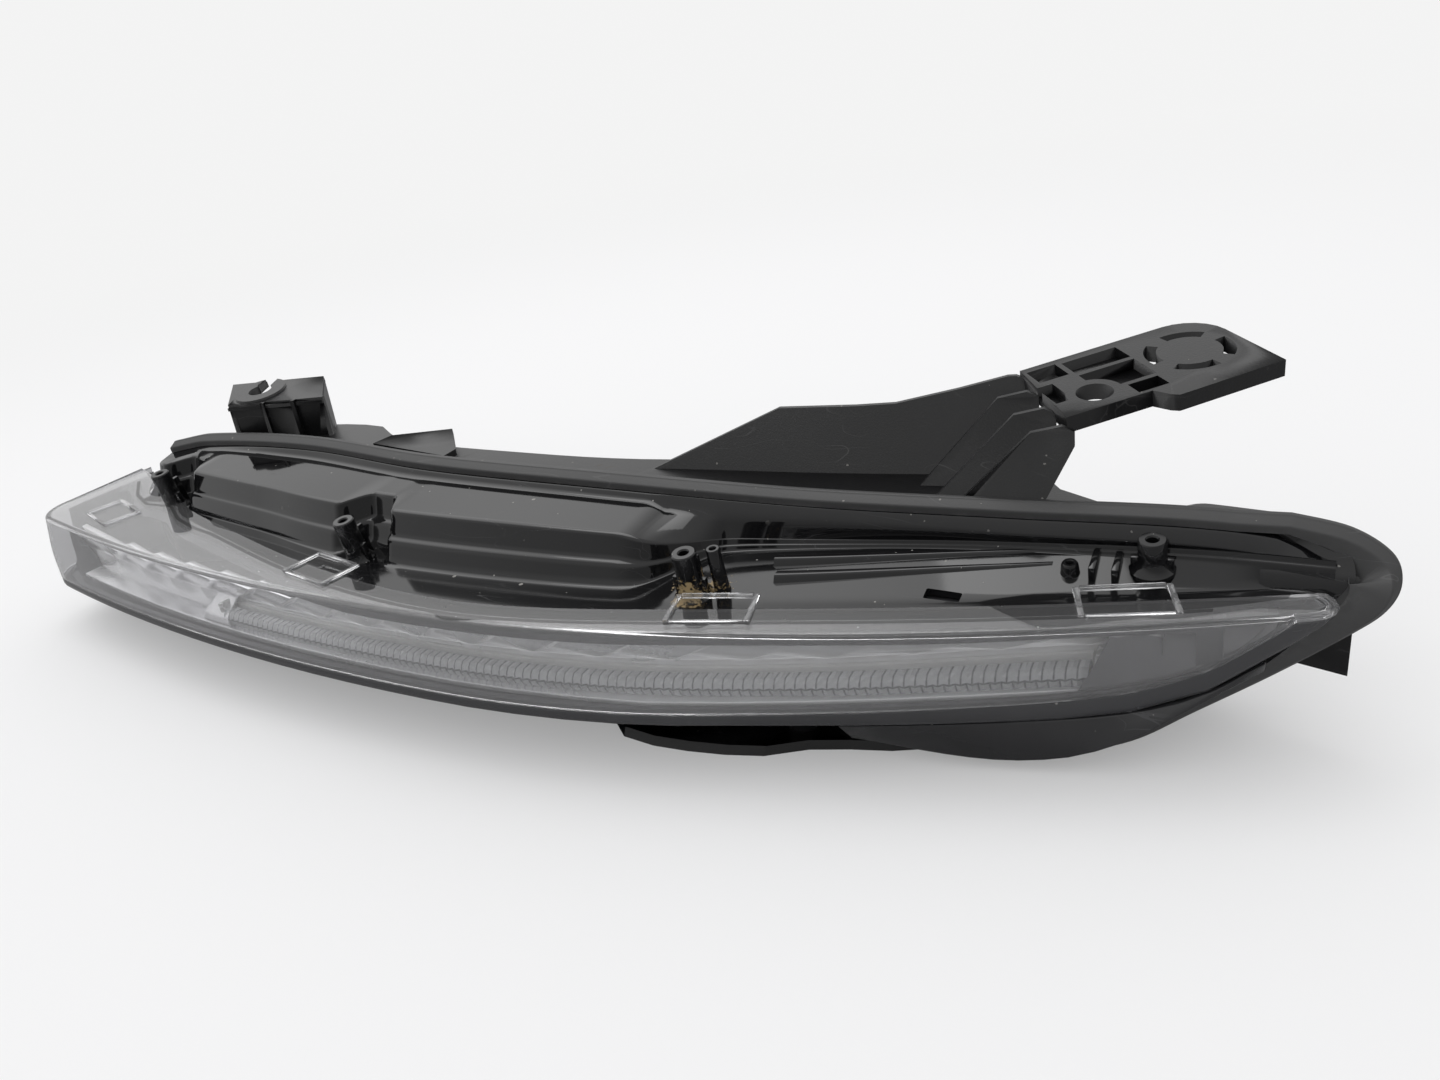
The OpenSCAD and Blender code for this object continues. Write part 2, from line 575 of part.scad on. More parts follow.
function shell_window(u) =
    let (a = front_in(u), low = edge_low(u) + 0.6)
    [[a - past, shell_top - shell_t], [a + 2*shell_t, shell_top - shell_t], [a + 2*shell_t, low],
     [a - past, low]];
shell_ends = [0.013, 0.925];
shell_turn = 0.913;
shell_shares = concat([0.0145, 0.0165, 0.019, 0.024], [for (i = [0:31]) mix(0.03, 0.9, i/31)]);
module shell_body() {
    end = shell_t/lamp_len;
    inner = concat([shell_ends[0] + end], [for (u = shell_shares) if (u > shell_ends[0] + 1.5*end) u],
        [shell_turn, shell_ends[1] - end]);
    difference() {
        loft([for (u = concat([shell_ends[0]], shell_shares, [shell_turn, shell_ends[1]]))
            ring_at(u, shell_outer(u))]);
        loft([for (u = inner) ring_at(u, shell_inner(u))]);
        loft([for (i = [1:len(inner) - 2]) ring_at(inner[i], shell_window(inner[i]))]);
    }
}
// Flat mounting pad on the back of the housing, and the frame of what is fixed to it
pad_t = 2.5;
function back_turn(u) = atan((shell_back(u + 0.02) - shell_back(u - 0.02))/(0.04*lamp_len));
module on_back(u, z) {
    translate([at(u), shell_back(u) + pad_t, z]) rotate([0, 0, back_turn(u)]) children();
}
module pad(u, z, w, h) {
    on_back(u, z) translate([-w/2, -pad_t - shell_t + 0.5, 0]) cube([w, pad_t + shell_t - 0.5, h]);
}
module lamp_housing() {
    color([0.16, 0.16, 0.17]) difference() {
        union() {
            shell_body();
            for (p = standoff_places) translate([at(p[0]), p[1], shell_low + 1])
                cylinder(d = boss_d, h = 8, $fn = 32);
            pad(sink_u, sink_z, sink_len, sink_h);
            pad(driver_u, driver_z, driver_len, driver_h);
            pad(vent_u, vent_z - vent_d/2, vent_d, vent_d);
        }
        for (p = standoff_places) translate([at(p[0]), p[1], shell_low - 1])
            cylinder(d = screw_d, h = 8, $fn = 32);
        on_back(vent_u, vent_z) rotate([90, 0, 0]) translate([0, 0, -1]) cylinder(d = 5, h = 12, $fn = 32);
        on_back(driver_u, grommet_z) rotate([90, 0, 0]) translate([0, 0, -1])
            cylinder(d = grommet_d, h = 12, $fn = 32);
    }
}
screw_d = 3.2;
head_d = 7;
head_seat = 6;
grommet_d = 7;
grommet_z = 30;
module housing_screws() {
    color([0.72, 0.72, 0.74]) for (p = standoff_places) translate([at(p[0]), p[1], head_seat]) {
        cylinder(d = screw_d - 0.1, h = shell_low - head_seat + 6, $fn = 32);
        translate([0, 0, -2.6]) difference() {
            cylinder(d = head_d, h = 2.6, $fn = 32);
            translate([0, 0, -1]) cylinder(d = 3, h = 2.2, $fn = 6);
        }
    }
}

// Bead of sealant between the housing's upper lip and the lens flange
module sealing_bead() {
    color([0.06, 0.06, 0.06])
        loft([for (i = [0:28])
            let (u = mix(0.04, 0.92, i/28), y = deck_front(u) - (u < 0.2 ? 2 : 0.5), w = bead_t)
            ring_at(u, [[y, foot_z], [y, shell_top], [y - w, shell_top], [y - w, foot_z]])]);
}

// Stepped reflector, whose upper face jumps back at each cell
guide_table = [[0.2, 9], [0.6, 9], [0.72, 13], [0.86, 18], [0.93, 14]];
function guide_y(u) = crease_y(u) + curve(guide_table, u);
reflector_ends = [0.05, 0.9];
lip_z = 28;
cell_slant = 9;
cell_gap = 0.06;
cells = floor((reflector_ends[1] - reflector_ends[0])*lamp_len/cell_len);
reflector_top = shell_top - shell_t - 1;
function reflector_ring(u, back, slant) =
    let (t = trim_t, e = slant/lamp_len, d = 3*e*min(1, (0.925 - u)/0.1))
    [for (p = [[0, 0, t, lip_z], [0, 0, t, guide_z + 6], [e, 0, t + back, guide_z + 8],
        [d, 1, 4 + t + back, reflector_top], [d, 1, 3 + back, reflector_top],
        [e, 0, back - 1.3, guide_z + 7], [0, 0, 0, guide_z + 6], [0, 0, 0, lip_z + t],
        [0, 2, 0, lip_z + t], [0, 2, 0, lip_z]])
        let (v = u + p[0], c = crease_y(v) + lens_t + 2)
        [at(v), p[2] + (p[1] == 0 ? guide_y(v) + guide_d/2 + trim_t
            : p[1] == 1 ? c - 0.4*min(0, bulge_at(v))
            : max(c, front_in(v) + shell_t + fit)), p[3]]];
module stepped_reflector() {
    color([0.62, 0.63, 0.66]) difference() {
        loft([for (i = [0:cells - 1]) for (k = [0, 1])
            let (u = mix(reflector_ends[0], reflector_ends[1], (i + cell_gap + (1 - 2*cell_gap)*k)/cells))
            reflector_ring(u, (1 - k)*cell_step, i + k > 0 && i + k < cells ? cell_slant : 0)]);
        for (k = [0, 1]) translate([lead_x[k], guide_y(guide_ends[k]), guide_z]) rotate([-90, 0, 0])
            cylinder(d = lead_d + 2, h = 20, $fn = 16);
    }
}

// Light guide with two rows of prism teeth along its front
guide_ends = [0.277, 0.863];
teeth = floor((guide_ends[1] - guide_ends[0])*lamp_len/tooth_pitch);
function guide_ring(u, cut) =
    let (r = guide_d/2, y = guide_y(u), z = guide_z)
    ring_at(u, [for (p = [[180, cut], [150, cut], [120, 0], [60, 0], [0, 0], [-60, 0], [-120, 0],
                          [-150, cut]])
        [y + (r - p[1])*cos(p[0]), z + (r - p[1]/2)*sin(p[0])]]);
module light_guide() {
    color([0.93, 0.94, 0.95, 0.8])
        loft([for (i = [0:2*teeth])
            guide_ring(mix(guide_ends[0], guide_ends[1], i/(2*teeth)), i%2*tooth_depth)]);
}
module guide_channel() {
    color([0.90, 0.90, 0.88])
        loft([for (i = [0:20])
            let (u = mix(guide_ends[0], guide_ends[1], i/20), y = guide_y(u) + guide_d/2 + 0.2)
            ring_at(u, [[y, lip_z + trim_t], [y, guide_z + 4], [y + trim_t - 0.4, guide_z + 4],
                [y + trim_t - 0.4, lip_z + trim_t]])]);
}

// Boards and chips that feed the two ends of the guide
board_w = 8;
board_h = 10;
chip = 3.2;
lead_d = 2.4;
lead_x = [at(guide_ends[0]) - 12, at(guide_ends[1]) + 12];
module at_ends() {
    for (k = [0, 1]) translate([at(guide_ends[k]), guide_y(guide_ends[k]), guide_z])
        mirror([1 - k, 0, 0]) children();
}
module led_boards() {
    color([0.12, 0.35, 0.18]) at_ends() translate([1.5, -2.5, lip_z + trim_t - guide_z + 0.3])
        cube([board_t, board_w, board_h]);
}
module led_chips() {
    color([0.95, 0.85, 0.35]) at_ends() translate([0.5, -chip/2, -chip/2]) cube([1, chip, chip]);
}

// Heat sink, driver and vent on the back of the housing
sink_u = 0.745;
sink_z = 24;
sink_h = 26;
fin_t = 1.6;
fin_count = 8;
module heat_sink() {
    color([0.75, 0.76, 0.78]) on_back(sink_u, sink_z) {
        translate([-sink_len/2, 0, 0]) cube([sink_len, 2.5, sink_h]);
        for (i = [0:fin_count - 1]) translate([mix(-sink_len/2, sink_len/2 - fin_t, i/(fin_count - 1)), 2, 0])
            cube([fin_t, 12, sink_h]);
    }
}
driver_u = 0.36;
driver_z = 22;
driver_h = 28;
driver_d = 24;
case_t = 2;
module driver_case() {
    color([0.14, 0.14, 0.15]) on_back(driver_u, driver_z) difference() {
        translate([-driver_len/2, 0, 0]) cube([driver_len, driver_d, driver_h]);
        translate([-driver_len/2 + case_t, case_t, case_t])
            cube([driver_len - 2*case_t, driver_d, driver_h - 2*case_t]);
        translate([0, -1, grommet_z - driver_z]) rotate([-90, 0, 0])
            cylinder(d = grommet_d, h = 2*case_t, $fn = 32);
    }
}
module driver_cover() {
    lip = case_t + fit;
    color([0.14, 0.14, 0.15]) on_back(driver_u, driver_z) difference() {
        union() {
            translate([-driver_len/2, driver_d, 0]) cube([driver_len, case_t, driver_h]);
            translate([-driver_len/2 + lip, driver_d - 2, lip])
                cube([driver_len - 2*lip, 2, driver_h - 2*lip]);
        }
        translate([-9, driver_d - 3, driver_h/2 - 4]) cube([18, case_t + 4, 8]);
    }
}
board_y = case_t + 8;
module driver_board() {
    color([0.12, 0.35, 0.18]) on_back(driver_u, driver_z) difference() {
        translate([-driver_len/2 + case_t, board_y, case_t])
            cube([driver_len - 2*case_t, board_t, driver_h - 2*case_t]);
        translate([-6, board_y - 1, case_t - 1]) cube([12, board_t + 2, 9]);
    }
}
vent_u = 0.62;
vent_z = 38;
module vent_cap() {
    color([0.10, 0.10, 0.11]) on_back(vent_u, vent_z) rotate([-90, 0, 0]) {
        cylinder(d = vent_d, h = 5, $fn = 48);
        cylinder(d = vent_d - 4, h = 6, $fn = 48);
    }
}

// Connector socket in the carrier's back wall, its pins and its leads
plug_u = 0.215;
plug_h = 13;
plug_z = 36;
plug_y = back_y(plug_u) + 0.1;
plug_deep = 16;
plug_base = 4;
pin_out = 6;
pin_gap = 4.4;
pin_t = 0.8;
module connector_socket() {
    color([0.13, 0.13, 0.14]) translate([at(plug_u), plug_y, plug_z]) difference() {
        union() {
            translate([-plug_w/2 - 4, 0, -plug_h/2 - 4]) cube([plug_w + 8, 2, plug_h + 8]);
            translate([-plug_w/2, -plug_base, -plug_h/2]) cube([plug_w, plug_base + plug_deep, plug_h]);
        }
        translate([-plug_w/2 + 1.6, 0, -plug_h/2 + 1.6]) cube([plug_w - 3.2, 2*plug_deep, plug_h - 3.2]);
        for (k = [-1.5:1.5]) translate([k*pin_gap - pin_t/2, -plug_base - 1, -pin_t/2])
            cube([pin_t, plug_base + 2, pin_t]);
    }
}
module connector_pins() {
    color([0.80, 0.68, 0.35]) for (k = [-1.5:1.5])
        translate([at(plug_u) + k*pin_gap - pin_t/2, plug_y - pin_out, plug_z - pin_t/2])
            cube([pin_t, pin_out + 9, pin_t]);
}

// Round lead through a row of points
module lead(pts, d) {
    p = smooth_row(pts, 3);
    n = len(p);
    loft([for (i = [0:n - 1])
        let (t = p[min(i + 1, n - 1)] - p[max(i - 1, 0)], a = cross(t, [0, 0.02, 1]), s = a/norm(a),
             v = cross(s, t)/norm(t))
        [for (k = [7:-1:0]) p[i] + d/2*(cos(45*k)*s + sin(45*k)*v)]]);
}
driver_at = [at(driver_u), shell_back(driver_u) + pad_t];
function in_driver(x, y) =
    let (a = back_turn(driver_u)) driver_at + [cos(a)*x - sin(a)*y, sin(a)*x + cos(a)*y];
function behind(u, d, z) = [at(u), guide_y(u) + guide_d/2 + 2*trim_t + d, z];
module wiring() {
    color([0.15, 0.15, 0.15]) {
        for (k = [-1.5:1.5])
            let (x = at(plug_u) + k*pin_gap, y = plug_y - pin_out, a = in_driver(3*k, driver_d + 8),
                 e = in_driver(3*k, board_y + board_t + 0.3), m = [x + 10, y - 14 + 2*k])
                lead([for (p = [[x, y - 0.2], [x, y - 5], m, 0.5*(m + a) + [0, 1], a,
                    in_driver(3*k, driver_d), e]) [p[0], p[1], plug_z]], 1.8);
        for (k = [0, 1]) let (g = guide_ends[k], o = 2*k - 1, u = share(lead_x[k]), x = driver_at[0] + 1.6*o)
            lead([[x, driver_at[1] + board_y - 0.3, grommet_z], [x, driver_at[1], grommet_z],
                [x + 2*o, driver_at[1] - 8, grommet_z], [x + 18*o, driver_at[1] - 16, 26],
                behind(mix(driver_u, g, 0.4), 6, 24), behind(mix(driver_u, g, 0.75), 6, 24),
                behind(u - 0.012*o, 8, 29), behind(u, 4, guide_z), behind(u, -4, guide_z),
                [lead_x[k] - 3*o, guide_y(g) + 1, guide_z],
                [at(g) + (1.5 + board_t + 0.2)*o, guide_y(g), guide_z]], lead_d);
    }
}

// Shift that puts the origin under the middle of the outer box
plate_far = arm_y + sin(lean)*arm_t + cos(lean)*(plate_round + sin(arm_turn)*(plate_end - plate_round)
    + cos(arm_turn)*(plate_back - plate_round));
centre_y = (front_reach + face_bulge - plate_far)/2;

translate([0, centre_y, 0]) carrier();
translate([0, centre_y, 0]) edge_seal();
translate([0, centre_y, 0]) deck_bezel();
translate([0, centre_y, 0]) lower_skirt();
translate([0, centre_y, 0]) lamp_housing();
translate([0, centre_y, 0]) outer_lens();
translate([0, centre_y, 0]) lens_band();
translate([0, centre_y, 0]) sealing_bead();
translate([0, centre_y, 0]) stepped_reflector();
translate([0, centre_y, 0]) light_guide();
translate([0, centre_y, 0]) guide_channel();
translate([0, centre_y, 0]) led_boards();
translate([0, centre_y, 0]) led_chips();
translate([0, centre_y, 0]) heat_sink();
translate([0, centre_y, 0]) driver_case();
translate([0, centre_y, 0]) driver_cover();
translate([0, centre_y, 0]) driver_board();
translate([0, centre_y, 0]) connector_socket();
translate([0, centre_y, 0]) connector_pins();
translate([0, centre_y, 0]) wiring();
translate([0, centre_y, 0]) vent_cap();
translate([0, centre_y, 0]) housing_screws();
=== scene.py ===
"""Looks of a slim daytime running light, built round its packed construction.

Lengths in the lamp's own curves are in millimetres, as in the construction; every mesh is in metres.
"""

import logging
import math
from dataclasses import dataclass
from enum import Enum
from typing import Sequence

import bpy
import numpy as np
from mathutils import Matrix, Vector


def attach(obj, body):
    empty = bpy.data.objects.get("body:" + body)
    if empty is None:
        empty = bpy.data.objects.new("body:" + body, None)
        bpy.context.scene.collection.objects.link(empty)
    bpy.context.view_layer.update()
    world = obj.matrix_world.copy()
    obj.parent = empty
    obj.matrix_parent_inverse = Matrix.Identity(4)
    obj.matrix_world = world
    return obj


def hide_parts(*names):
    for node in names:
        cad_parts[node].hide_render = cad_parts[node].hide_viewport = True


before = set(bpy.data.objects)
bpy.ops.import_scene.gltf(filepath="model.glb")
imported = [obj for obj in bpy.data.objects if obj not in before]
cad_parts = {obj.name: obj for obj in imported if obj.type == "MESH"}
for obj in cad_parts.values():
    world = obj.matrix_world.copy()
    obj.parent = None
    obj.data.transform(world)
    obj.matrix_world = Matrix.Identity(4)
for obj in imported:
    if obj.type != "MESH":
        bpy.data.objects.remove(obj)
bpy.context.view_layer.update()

logging.basicConfig(level=logging.INFO, format="%(message)s")
LOG = logging.getLogger("running_light")

MM = 0.001
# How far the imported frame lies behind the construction's own, in millimetres
SHIFT_Y = 7.21235
BODY = "root"
Point = tuple[float, float, float]
Colour = tuple[float, float, float]


class Slot(Enum):
    """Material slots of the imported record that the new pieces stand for."""

    CARRIER = "carrier_black"
    GLOSS = "piano_black"
    SEAL = "seal_rubber"
    CLEAR = "clear_plastic"
    BAND = "band_black"
    HOUSING = "housing_grey"
    REFLECTOR = "reflector_grey"


# Curves of the lamp


@dataclass(frozen=True)
class LampCurves:
    """Plan and height curves that the long pieces share, in millimetres."""

    length: float = 606.0
    front_reach: float = 91.0
    bow_left: float = 40.0
    bow_right: float = 72.0
    crease_z: float = 60.0
    lens_t: float = 2.5
    face_low: float = 28.0
    face_bulge: float = 4.0
    corner_r: float = 18.0
    end_lean: float = 6.0
    tip_u: float = 0.957
    flange_table: tuple = ((0, 62), (0.05, 57), (0.088, 43), (0.13, 48), (0.16, 41), (0.24, 33),
                           (0.39, 17), (0.51, 11), (0.70, 17), (0.86, 16), (0.98, 12))
    rim_y_table: tuple = ((0.085, 4), (0.12, 12), (0.25, 8), (0.40, -8), (0.55, -12), (0.69, -8),
                          (0.81, -2), (0.92, 2), (0.98, 1))
    rim_z_table: tuple = ((0.085, 80), (0.12, 82), (0.25, 85), (0.40, 86), (0.55, 85), (0.69, 81),
                          (0.81, 79), (0.92, 78), (0.98, 74))
    step_in_table: tuple = ((0.085, 20), (0.1, 28), (0.15, 41), (0.29, 49), (0.40, 47), (0.59, 42),
                            (0.61, 38), (0.645, 14), (0.98, 10))
    step_share_table: tuple = ((0.085, 0.9), (0.15, 1), (0.59, 1), (0.645, 0.25), (0.98, 0.2))
    floor_rise_table: tuple = ((0.085, 0), (0.6, 0), (0.66, 3), (0.8, 6), (0.98, 6))
    tuck_table: tuple = ((0.075, 1), (0.9, 1), (0.98, -0.6))
    seal_ends: tuple = (0.088, 0.925)
    seal_t: float = 6.0
    seal_h: float = 5.0
    step_rise: float = 17.0
    notch_depth: float = 13.0
    notch_len: float = 34.0
    notch_places: tuple = (0.13, 0.385)
    bulge_table: tuple = ((0, 1), (0.5, 1), (0.62, 0.75), (0.70, -0.25), (0.78, -1.2), (0.86, -2),
                          (0.957, -2))

    @staticmethod
    def curve(table: Sequence[tuple[float, float]], x: float) -> float:
        """Smooth curve through a table of pairs.

        Args:
            table: Pairs of place and value, in order.
            x: Place to read.

        Returns:
            The value at x, held level past both ends.
        """
        last = len(table) - 1
        i = 0
        while i < last - 1 and x > table[i + 1][0]:
            i += 1

        def grade(k: int) -> float:
            """Slope of the table at one of its pairs.

            Args:
                k: Index of the pair.

            Returns:
                The slope there.
            """
            a, b = max(k - 1, 0), min(k + 1, last)
            return (table[b][1] - table[a][1]) / (table[b][0] - table[a][0])

        w = table[i + 1][0] - table[i][0]
        f = min(1.0, max(0.0, (x - table[i][0]) / w))
        return (table[i][1] * (2 * f**3 - 3 * f**2 + 1) + table[i + 1][1] * (3 * f**2 - 2 * f**3)
                + w * grade(i) * (f**3 - 2 * f**2 + f) + w * grade(i + 1) * (f**3 - f**2))

    def at(self, u: float) -> float:
        """Place along the lamp for a share of its length.

        Args:
            u: Share of the lamp's length, 0 at its left end and 1 at its right.

        Returns:
            X in millimetres, 0 in the middle.
        """
        return (u - 0.5) * self.length

    def share(self, x: float) -> float:
        """Share of the lamp's length for a place along it.

        Args:
            x: Place along the lamp in millimetres, 0 in the middle.

        Returns:
            The share.
        """
        return x / self.length + 0.5

    def crease_y(self, u: float) -> float:
        """Set-back of the lens crease.

        Args:
            u: Share of the lamp's length, 0 at its left end and 1 at its right.

        Returns:
            The set-back in millimetres.
        """
        bow = (self.bow_right * (2 * u - 1) ** 1.8 if u > 0.5 else self.bow_left * (1 - 2 * u) ** 2)
        return bow - self.front_reach

    def flange_y(self, u: float) -> float:
        """Set-back of the rear edge of the lens flange.

        Args:
            u: Share of the lamp's length, 0 at its left end and 1 at its right.

        Returns:
            The set-back in millimetres.
        """
        return self.crease_y(u) + self.curve(self.flange_table, u)

    def rim_y(self, u: float) -> float:
        """Set-back of the rear rim.

        Args:
            u: Share of the lamp's length, 0 at its left end and 1 at its right.

        Returns:
            The set-back in millimetres.
        """
        return self.curve(self.rim_y_table, u)

    def rim_z(self, u: float) -> float:
        """Height of the rear rim.

        Args:
            u: Share of the lamp's length, 0 at its left end and 1 at its right.

        Returns:
            The height in millimetres.
        """
        return self.curve(self.rim_z_table, u)

    def slope(self, u: float) -> float:
        """Slope of the crease in plan.

        Args:
            u: Share of the lamp's length, 0 at its left end and 1 at its right.

        Returns:
            Millimetres of set-back for each millimetre of length.
        """
        return (self.crease_y(u + 0.001) - self.crease_y(u)) / (0.001 * self.length)

    def low_z(self, u: float) -> float:
        """Height of the lower edge of the clear face.

        Args:
            u: Share of the lamp's length, 0 at its left end and 1 at its right.

        Returns:
            The height in millimetres.
        """
        flange_low = self.crease_z - self.lens_t
        if u > 0.8:
            f = min(1.0, (u - 0.8) / (self.tip_u - 0.8)) ** 4
            return self.face_low + (flange_low - self.face_low) * f
        return self.face_low - 2 * (max(0.0, 0.3 - u) / 0.3) ** 2

    def bulge(self, u: float) -> float:
        """Forward bulge of the face at its lower edge.

        Args:
            u: Share of the lamp's length, 0 at its left end and 1 at its right.

        Returns:
            The bulge in millimetres, below 0 where the face draws back.
        """
        flange_low = self.crease_z - self.lens_t
        return (self.face_bulge * self.curve(self.bulge_table, u)
                * (flange_low - self.low_z(u)) / (flange_low - self.face_low))

    def notch(self, u: float) -> float:
        """Set-back of the pockets for the two left bosses.

        Args:
            u: Share of the lamp's length, 0 at its left end and 1 at its right.

        Returns:
            What a pocket adds to the set-back, in millimetres.
        """
        best = 0.0
        for place in self.notch_places:
            f = 1.6 * (1 - abs(u - place) * self.length * 2 / self.notch_len)
            f = min(1.0, max(0.0, f))
            best = max(best, 0.35 * f + 0.65 * f * f * (3 - 2 * f))
        return self.notch_depth * best

    def step_y(self, u: float) -> float:
        """Set-back of the foot of the deck's step.

        Args:
            u: Share of the lamp's length, 0 at its left end and 1 at its right.

        Returns:
            The set-back in millimetres.
        """
        return self.rim_y(u) - self.curve(self.step_in_table, u) + self.notch(u)

    def foot_z(self) -> float:
        """Height of the deck's foot, which is the underside of the flange.

        Returns:
            The height in millimetres.
        """
        return self.crease_z - self.lens_t

    def floor_z(self, u: float) -> float:
        """Height of the deck at the foot of its step.

        Args:
            u: Share of the lamp's length, 0 at its left end and 1 at its right.

        Returns:
            The height in millimetres.
        """
        return self.foot_z() + max(0.0, self.curve(self.floor_rise_table, u))

    def foot_end(self, u: float) -> float:
        """Set-back of the rear end of the deck's flat foot.

        Args:
            u: Share of the lamp's length, 0 at its left end and 1 at its right.

        Returns:
            The set-back in millimetres.
        """
        return min(self.flange_y(u) + 10.0, self.step_y(u) - 1.0)

    def deck_z(self, u: float, y: float) -> float:
        """Height of the deck in front of its step.

        Args:
            u: Share of the lamp's length, 0 at its left end and 1 at its right.
            y: Set-back in millimetres.

        Returns:
            The height in millimetres.
        """
        f = (y - self.foot_end(u)) / (self.step_y(u) - self.foot_end(u))
        f = min(1.0, max(0.0, f))
        return self.foot_z() + (self.floor_z(u) - self.foot_z()) * f

    def deck_outline(self, u: float) -> list[tuple[float, float]]:
        """Corners (y, z) of the deck's upper side, from its front edge to the rim.

        Args:
            u: Share of the lamp's length, 0 at its left end and 1 at its right.

        Returns:
            Pairs of set-back and height in millimetres.
        """
        h = self.step_rise * self.curve(self.step_share_table, u)
        y, z, rim, top = self.step_y(u), self.floor_z(u), self.rim_y(u), self.rim_z(u)
        seat = top - self.seal_h - 160 * max(0.0, u - 0.945)
        front = self.flange_y(u) - 5.0 * self.curve(self.tuck_table, u)
        return [(front, self.foot_z()), (self.foot_end(u), self.foot_z()), (y, z),
                (y + 0.16 * h, z + 0.45 * h), (y + 0.33 * h, z + 0.52 * h), (y + 0.48 * h, z + h),
                (y + 0.56 * h, z + 1.04 * h), (rim - self.seal_t - 3, max(top - 10, z + 1.1 * h)),
                (rim - self.seal_t, seat), (rim, seat)]

    def seal_line(self, steps: int) -> list[tuple[float, float, float, float]]:
        """Outer edge of the sealing lip: x, y, z and how far its end widening has come.

        Args:
            steps: Number of places along the rim, the hook comes on top.

        Returns:
            Points from the left end to the tip of the hook.
        """
        half = self.length / 2
        hook = [(half - 30, 2, 78, 0), (half - 14, 1, 75, 0.3), (half - 3, -2, 69, 0.8),
                (half, -6, 62, 1), (half - 3, -9, 54, 0.9), (half - 12, -12, 46, 0.6),
                (half - 32, -17, 31.5, 0.1), (half - 52, -25.5, 20.5, -0.1),
                (half - 70, -32.5, 10.5, -0.2), (half - 89, -36.5, 5.5, -0.2)]
        line = []
        for i in range(steps + 1):
            u = self.seal_ends[0] + (self.seal_ends[1] - self.seal_ends[0]) * i / steps
            line.append((self.at(u), self.rim_y(u), self.rim_z(u), 0.0))
        rows = [np.array(p, dtype=float) for p in hook]
        for i in range(len(rows) - 1):
            a, b, c, d = (rows[max(i - 1, 0)], rows[i], rows[i + 1], rows[min(i + 2, len(rows) - 1)])
            for k in range(8):
                f = k / 8
                q = (b * (2 * f**3 - 3 * f**2 + 1) + c * (3 * f**2 - 2 * f**3)
                     + (c - a) / 2 * (f**3 - 2 * f**2 + f) + (d - b) / 2 * (f**3 - f**2))
                line.append(tuple(float(v) for v in q))
        line.append(tuple(float(v) for v in rows[-1]))
        return line

    def lens_path(self, steps: int) -> list[tuple[float, float]]:
        """Outline of the lens in plan, from the right tip round to the back of the left end.

        Args:
            steps: Number of places along the front.

        Returns:
            Points (x, y) in millimetres.
        """
        cu = self.corner_r / self.length
        start = 270 + math.degrees(math.atan(self.slope(cu)))
        mid = np.array([self.at(cu), self.crease_y(cu)]) - self.corner_r * np.array(
            [math.cos(math.radians(start)), math.sin(math.radians(start))])
        tip = np.array([self.at(self.tip_u), self.crease_y(self.tip_u)])
        path = [tip + d for d in ((7, 15), (9.2, 12), (10, 9), (9.2, 5.5), (7, 3), (3.6, 1.2))]
        for i in range(steps + 1):
            u = self.tip_u + (cu + 0.003 - self.tip_u) * i / steps
            path.append(np.array([self.at(u), self.crease_y(u)]))
        for i in range(13):
            a = math.radians(start + (180 - start) * i / 12)
            path.append(mid + self.corner_r * np.array([math.cos(a), math.sin(a)]))
        left = mid[0] - self.corner_r
        end = self.flange_y(0)
        for f in (0.2, 0.4, 0.6, 0.8, 1.0):
            path.append(np.array([left + self.end_lean * f, mid[1] + (end - mid[1]) * f]))
        return [(float(p[0]), float(p[1])) for p in path]


CURVES = LampCurves()


def to_frame(x: float, y: float, z: float) -> Point:
    """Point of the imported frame, in metres, for a point of the lamp's curves in millimetres.

    Args:
        x: Place along the lamp.
        y: Set-back.
        z: Height.

    Returns:
        The point in metres.
    """
    return (x * MM, (y + SHIFT_Y) * MM, z * MM)


# Tools for modelling


def clear_selection() -> None:
    """Go to object mode with nothing selected."""
    active = bpy.context.view_layer.objects.active
    if active is not None and active.mode != "OBJECT":
        bpy.ops.object.mode_set(mode="OBJECT")
    bpy.ops.object.select_all(action="DESELECT")


def take(obj: bpy.types.Object) -> None:
    """Make one object the only selected and active one.

    Args:
        obj: Object to take.
    """
    clear_selection()
    obj.select_set(True)
    bpy.context.view_layer.objects.active = obj


def open_mesh(obj: bpy.types.Object, kind: str = "FACE") -> None:
    """Enter edit mode with nothing selected.

    Args:
        obj: Mesh object to edit.
        kind: Select mode, one of VERT, EDGE and FACE.
    """
    take(obj)
    bpy.ops.object.mode_set(mode="EDIT")
    bpy.ops.mesh.select_mode(type=kind)
    bpy.ops.mesh.select_all(action="DESELECT")


def close_mesh() -> None:
    """Leave edit mode."""
    bpy.ops.object.mode_set(mode="OBJECT")


def settle(obj: bpy.types.Object) -> None:
    """Put an object's place, turn and size into its mesh.

    Args:
        obj: Object to settle.
    """
    take(obj)
    bpy.ops.object.transform_apply(location=True, rotation=True, scale=True)


def face_outwards(obj: bpy.types.Object, merge: float = 1e-6) -> None:
    """Merge doubles and turn all faces outwards.

    Args:
        obj: Mesh object.
        merge: Distance in metres below which points are merged.
    """
    open_mesh(obj)
    bpy.ops.mesh.select_all(action="SELECT")
    bpy.ops.mesh.remove_doubles(threshold=merge)
    bpy.ops.mesh.normals_make_consistent(inside=False)
    close_mesh()


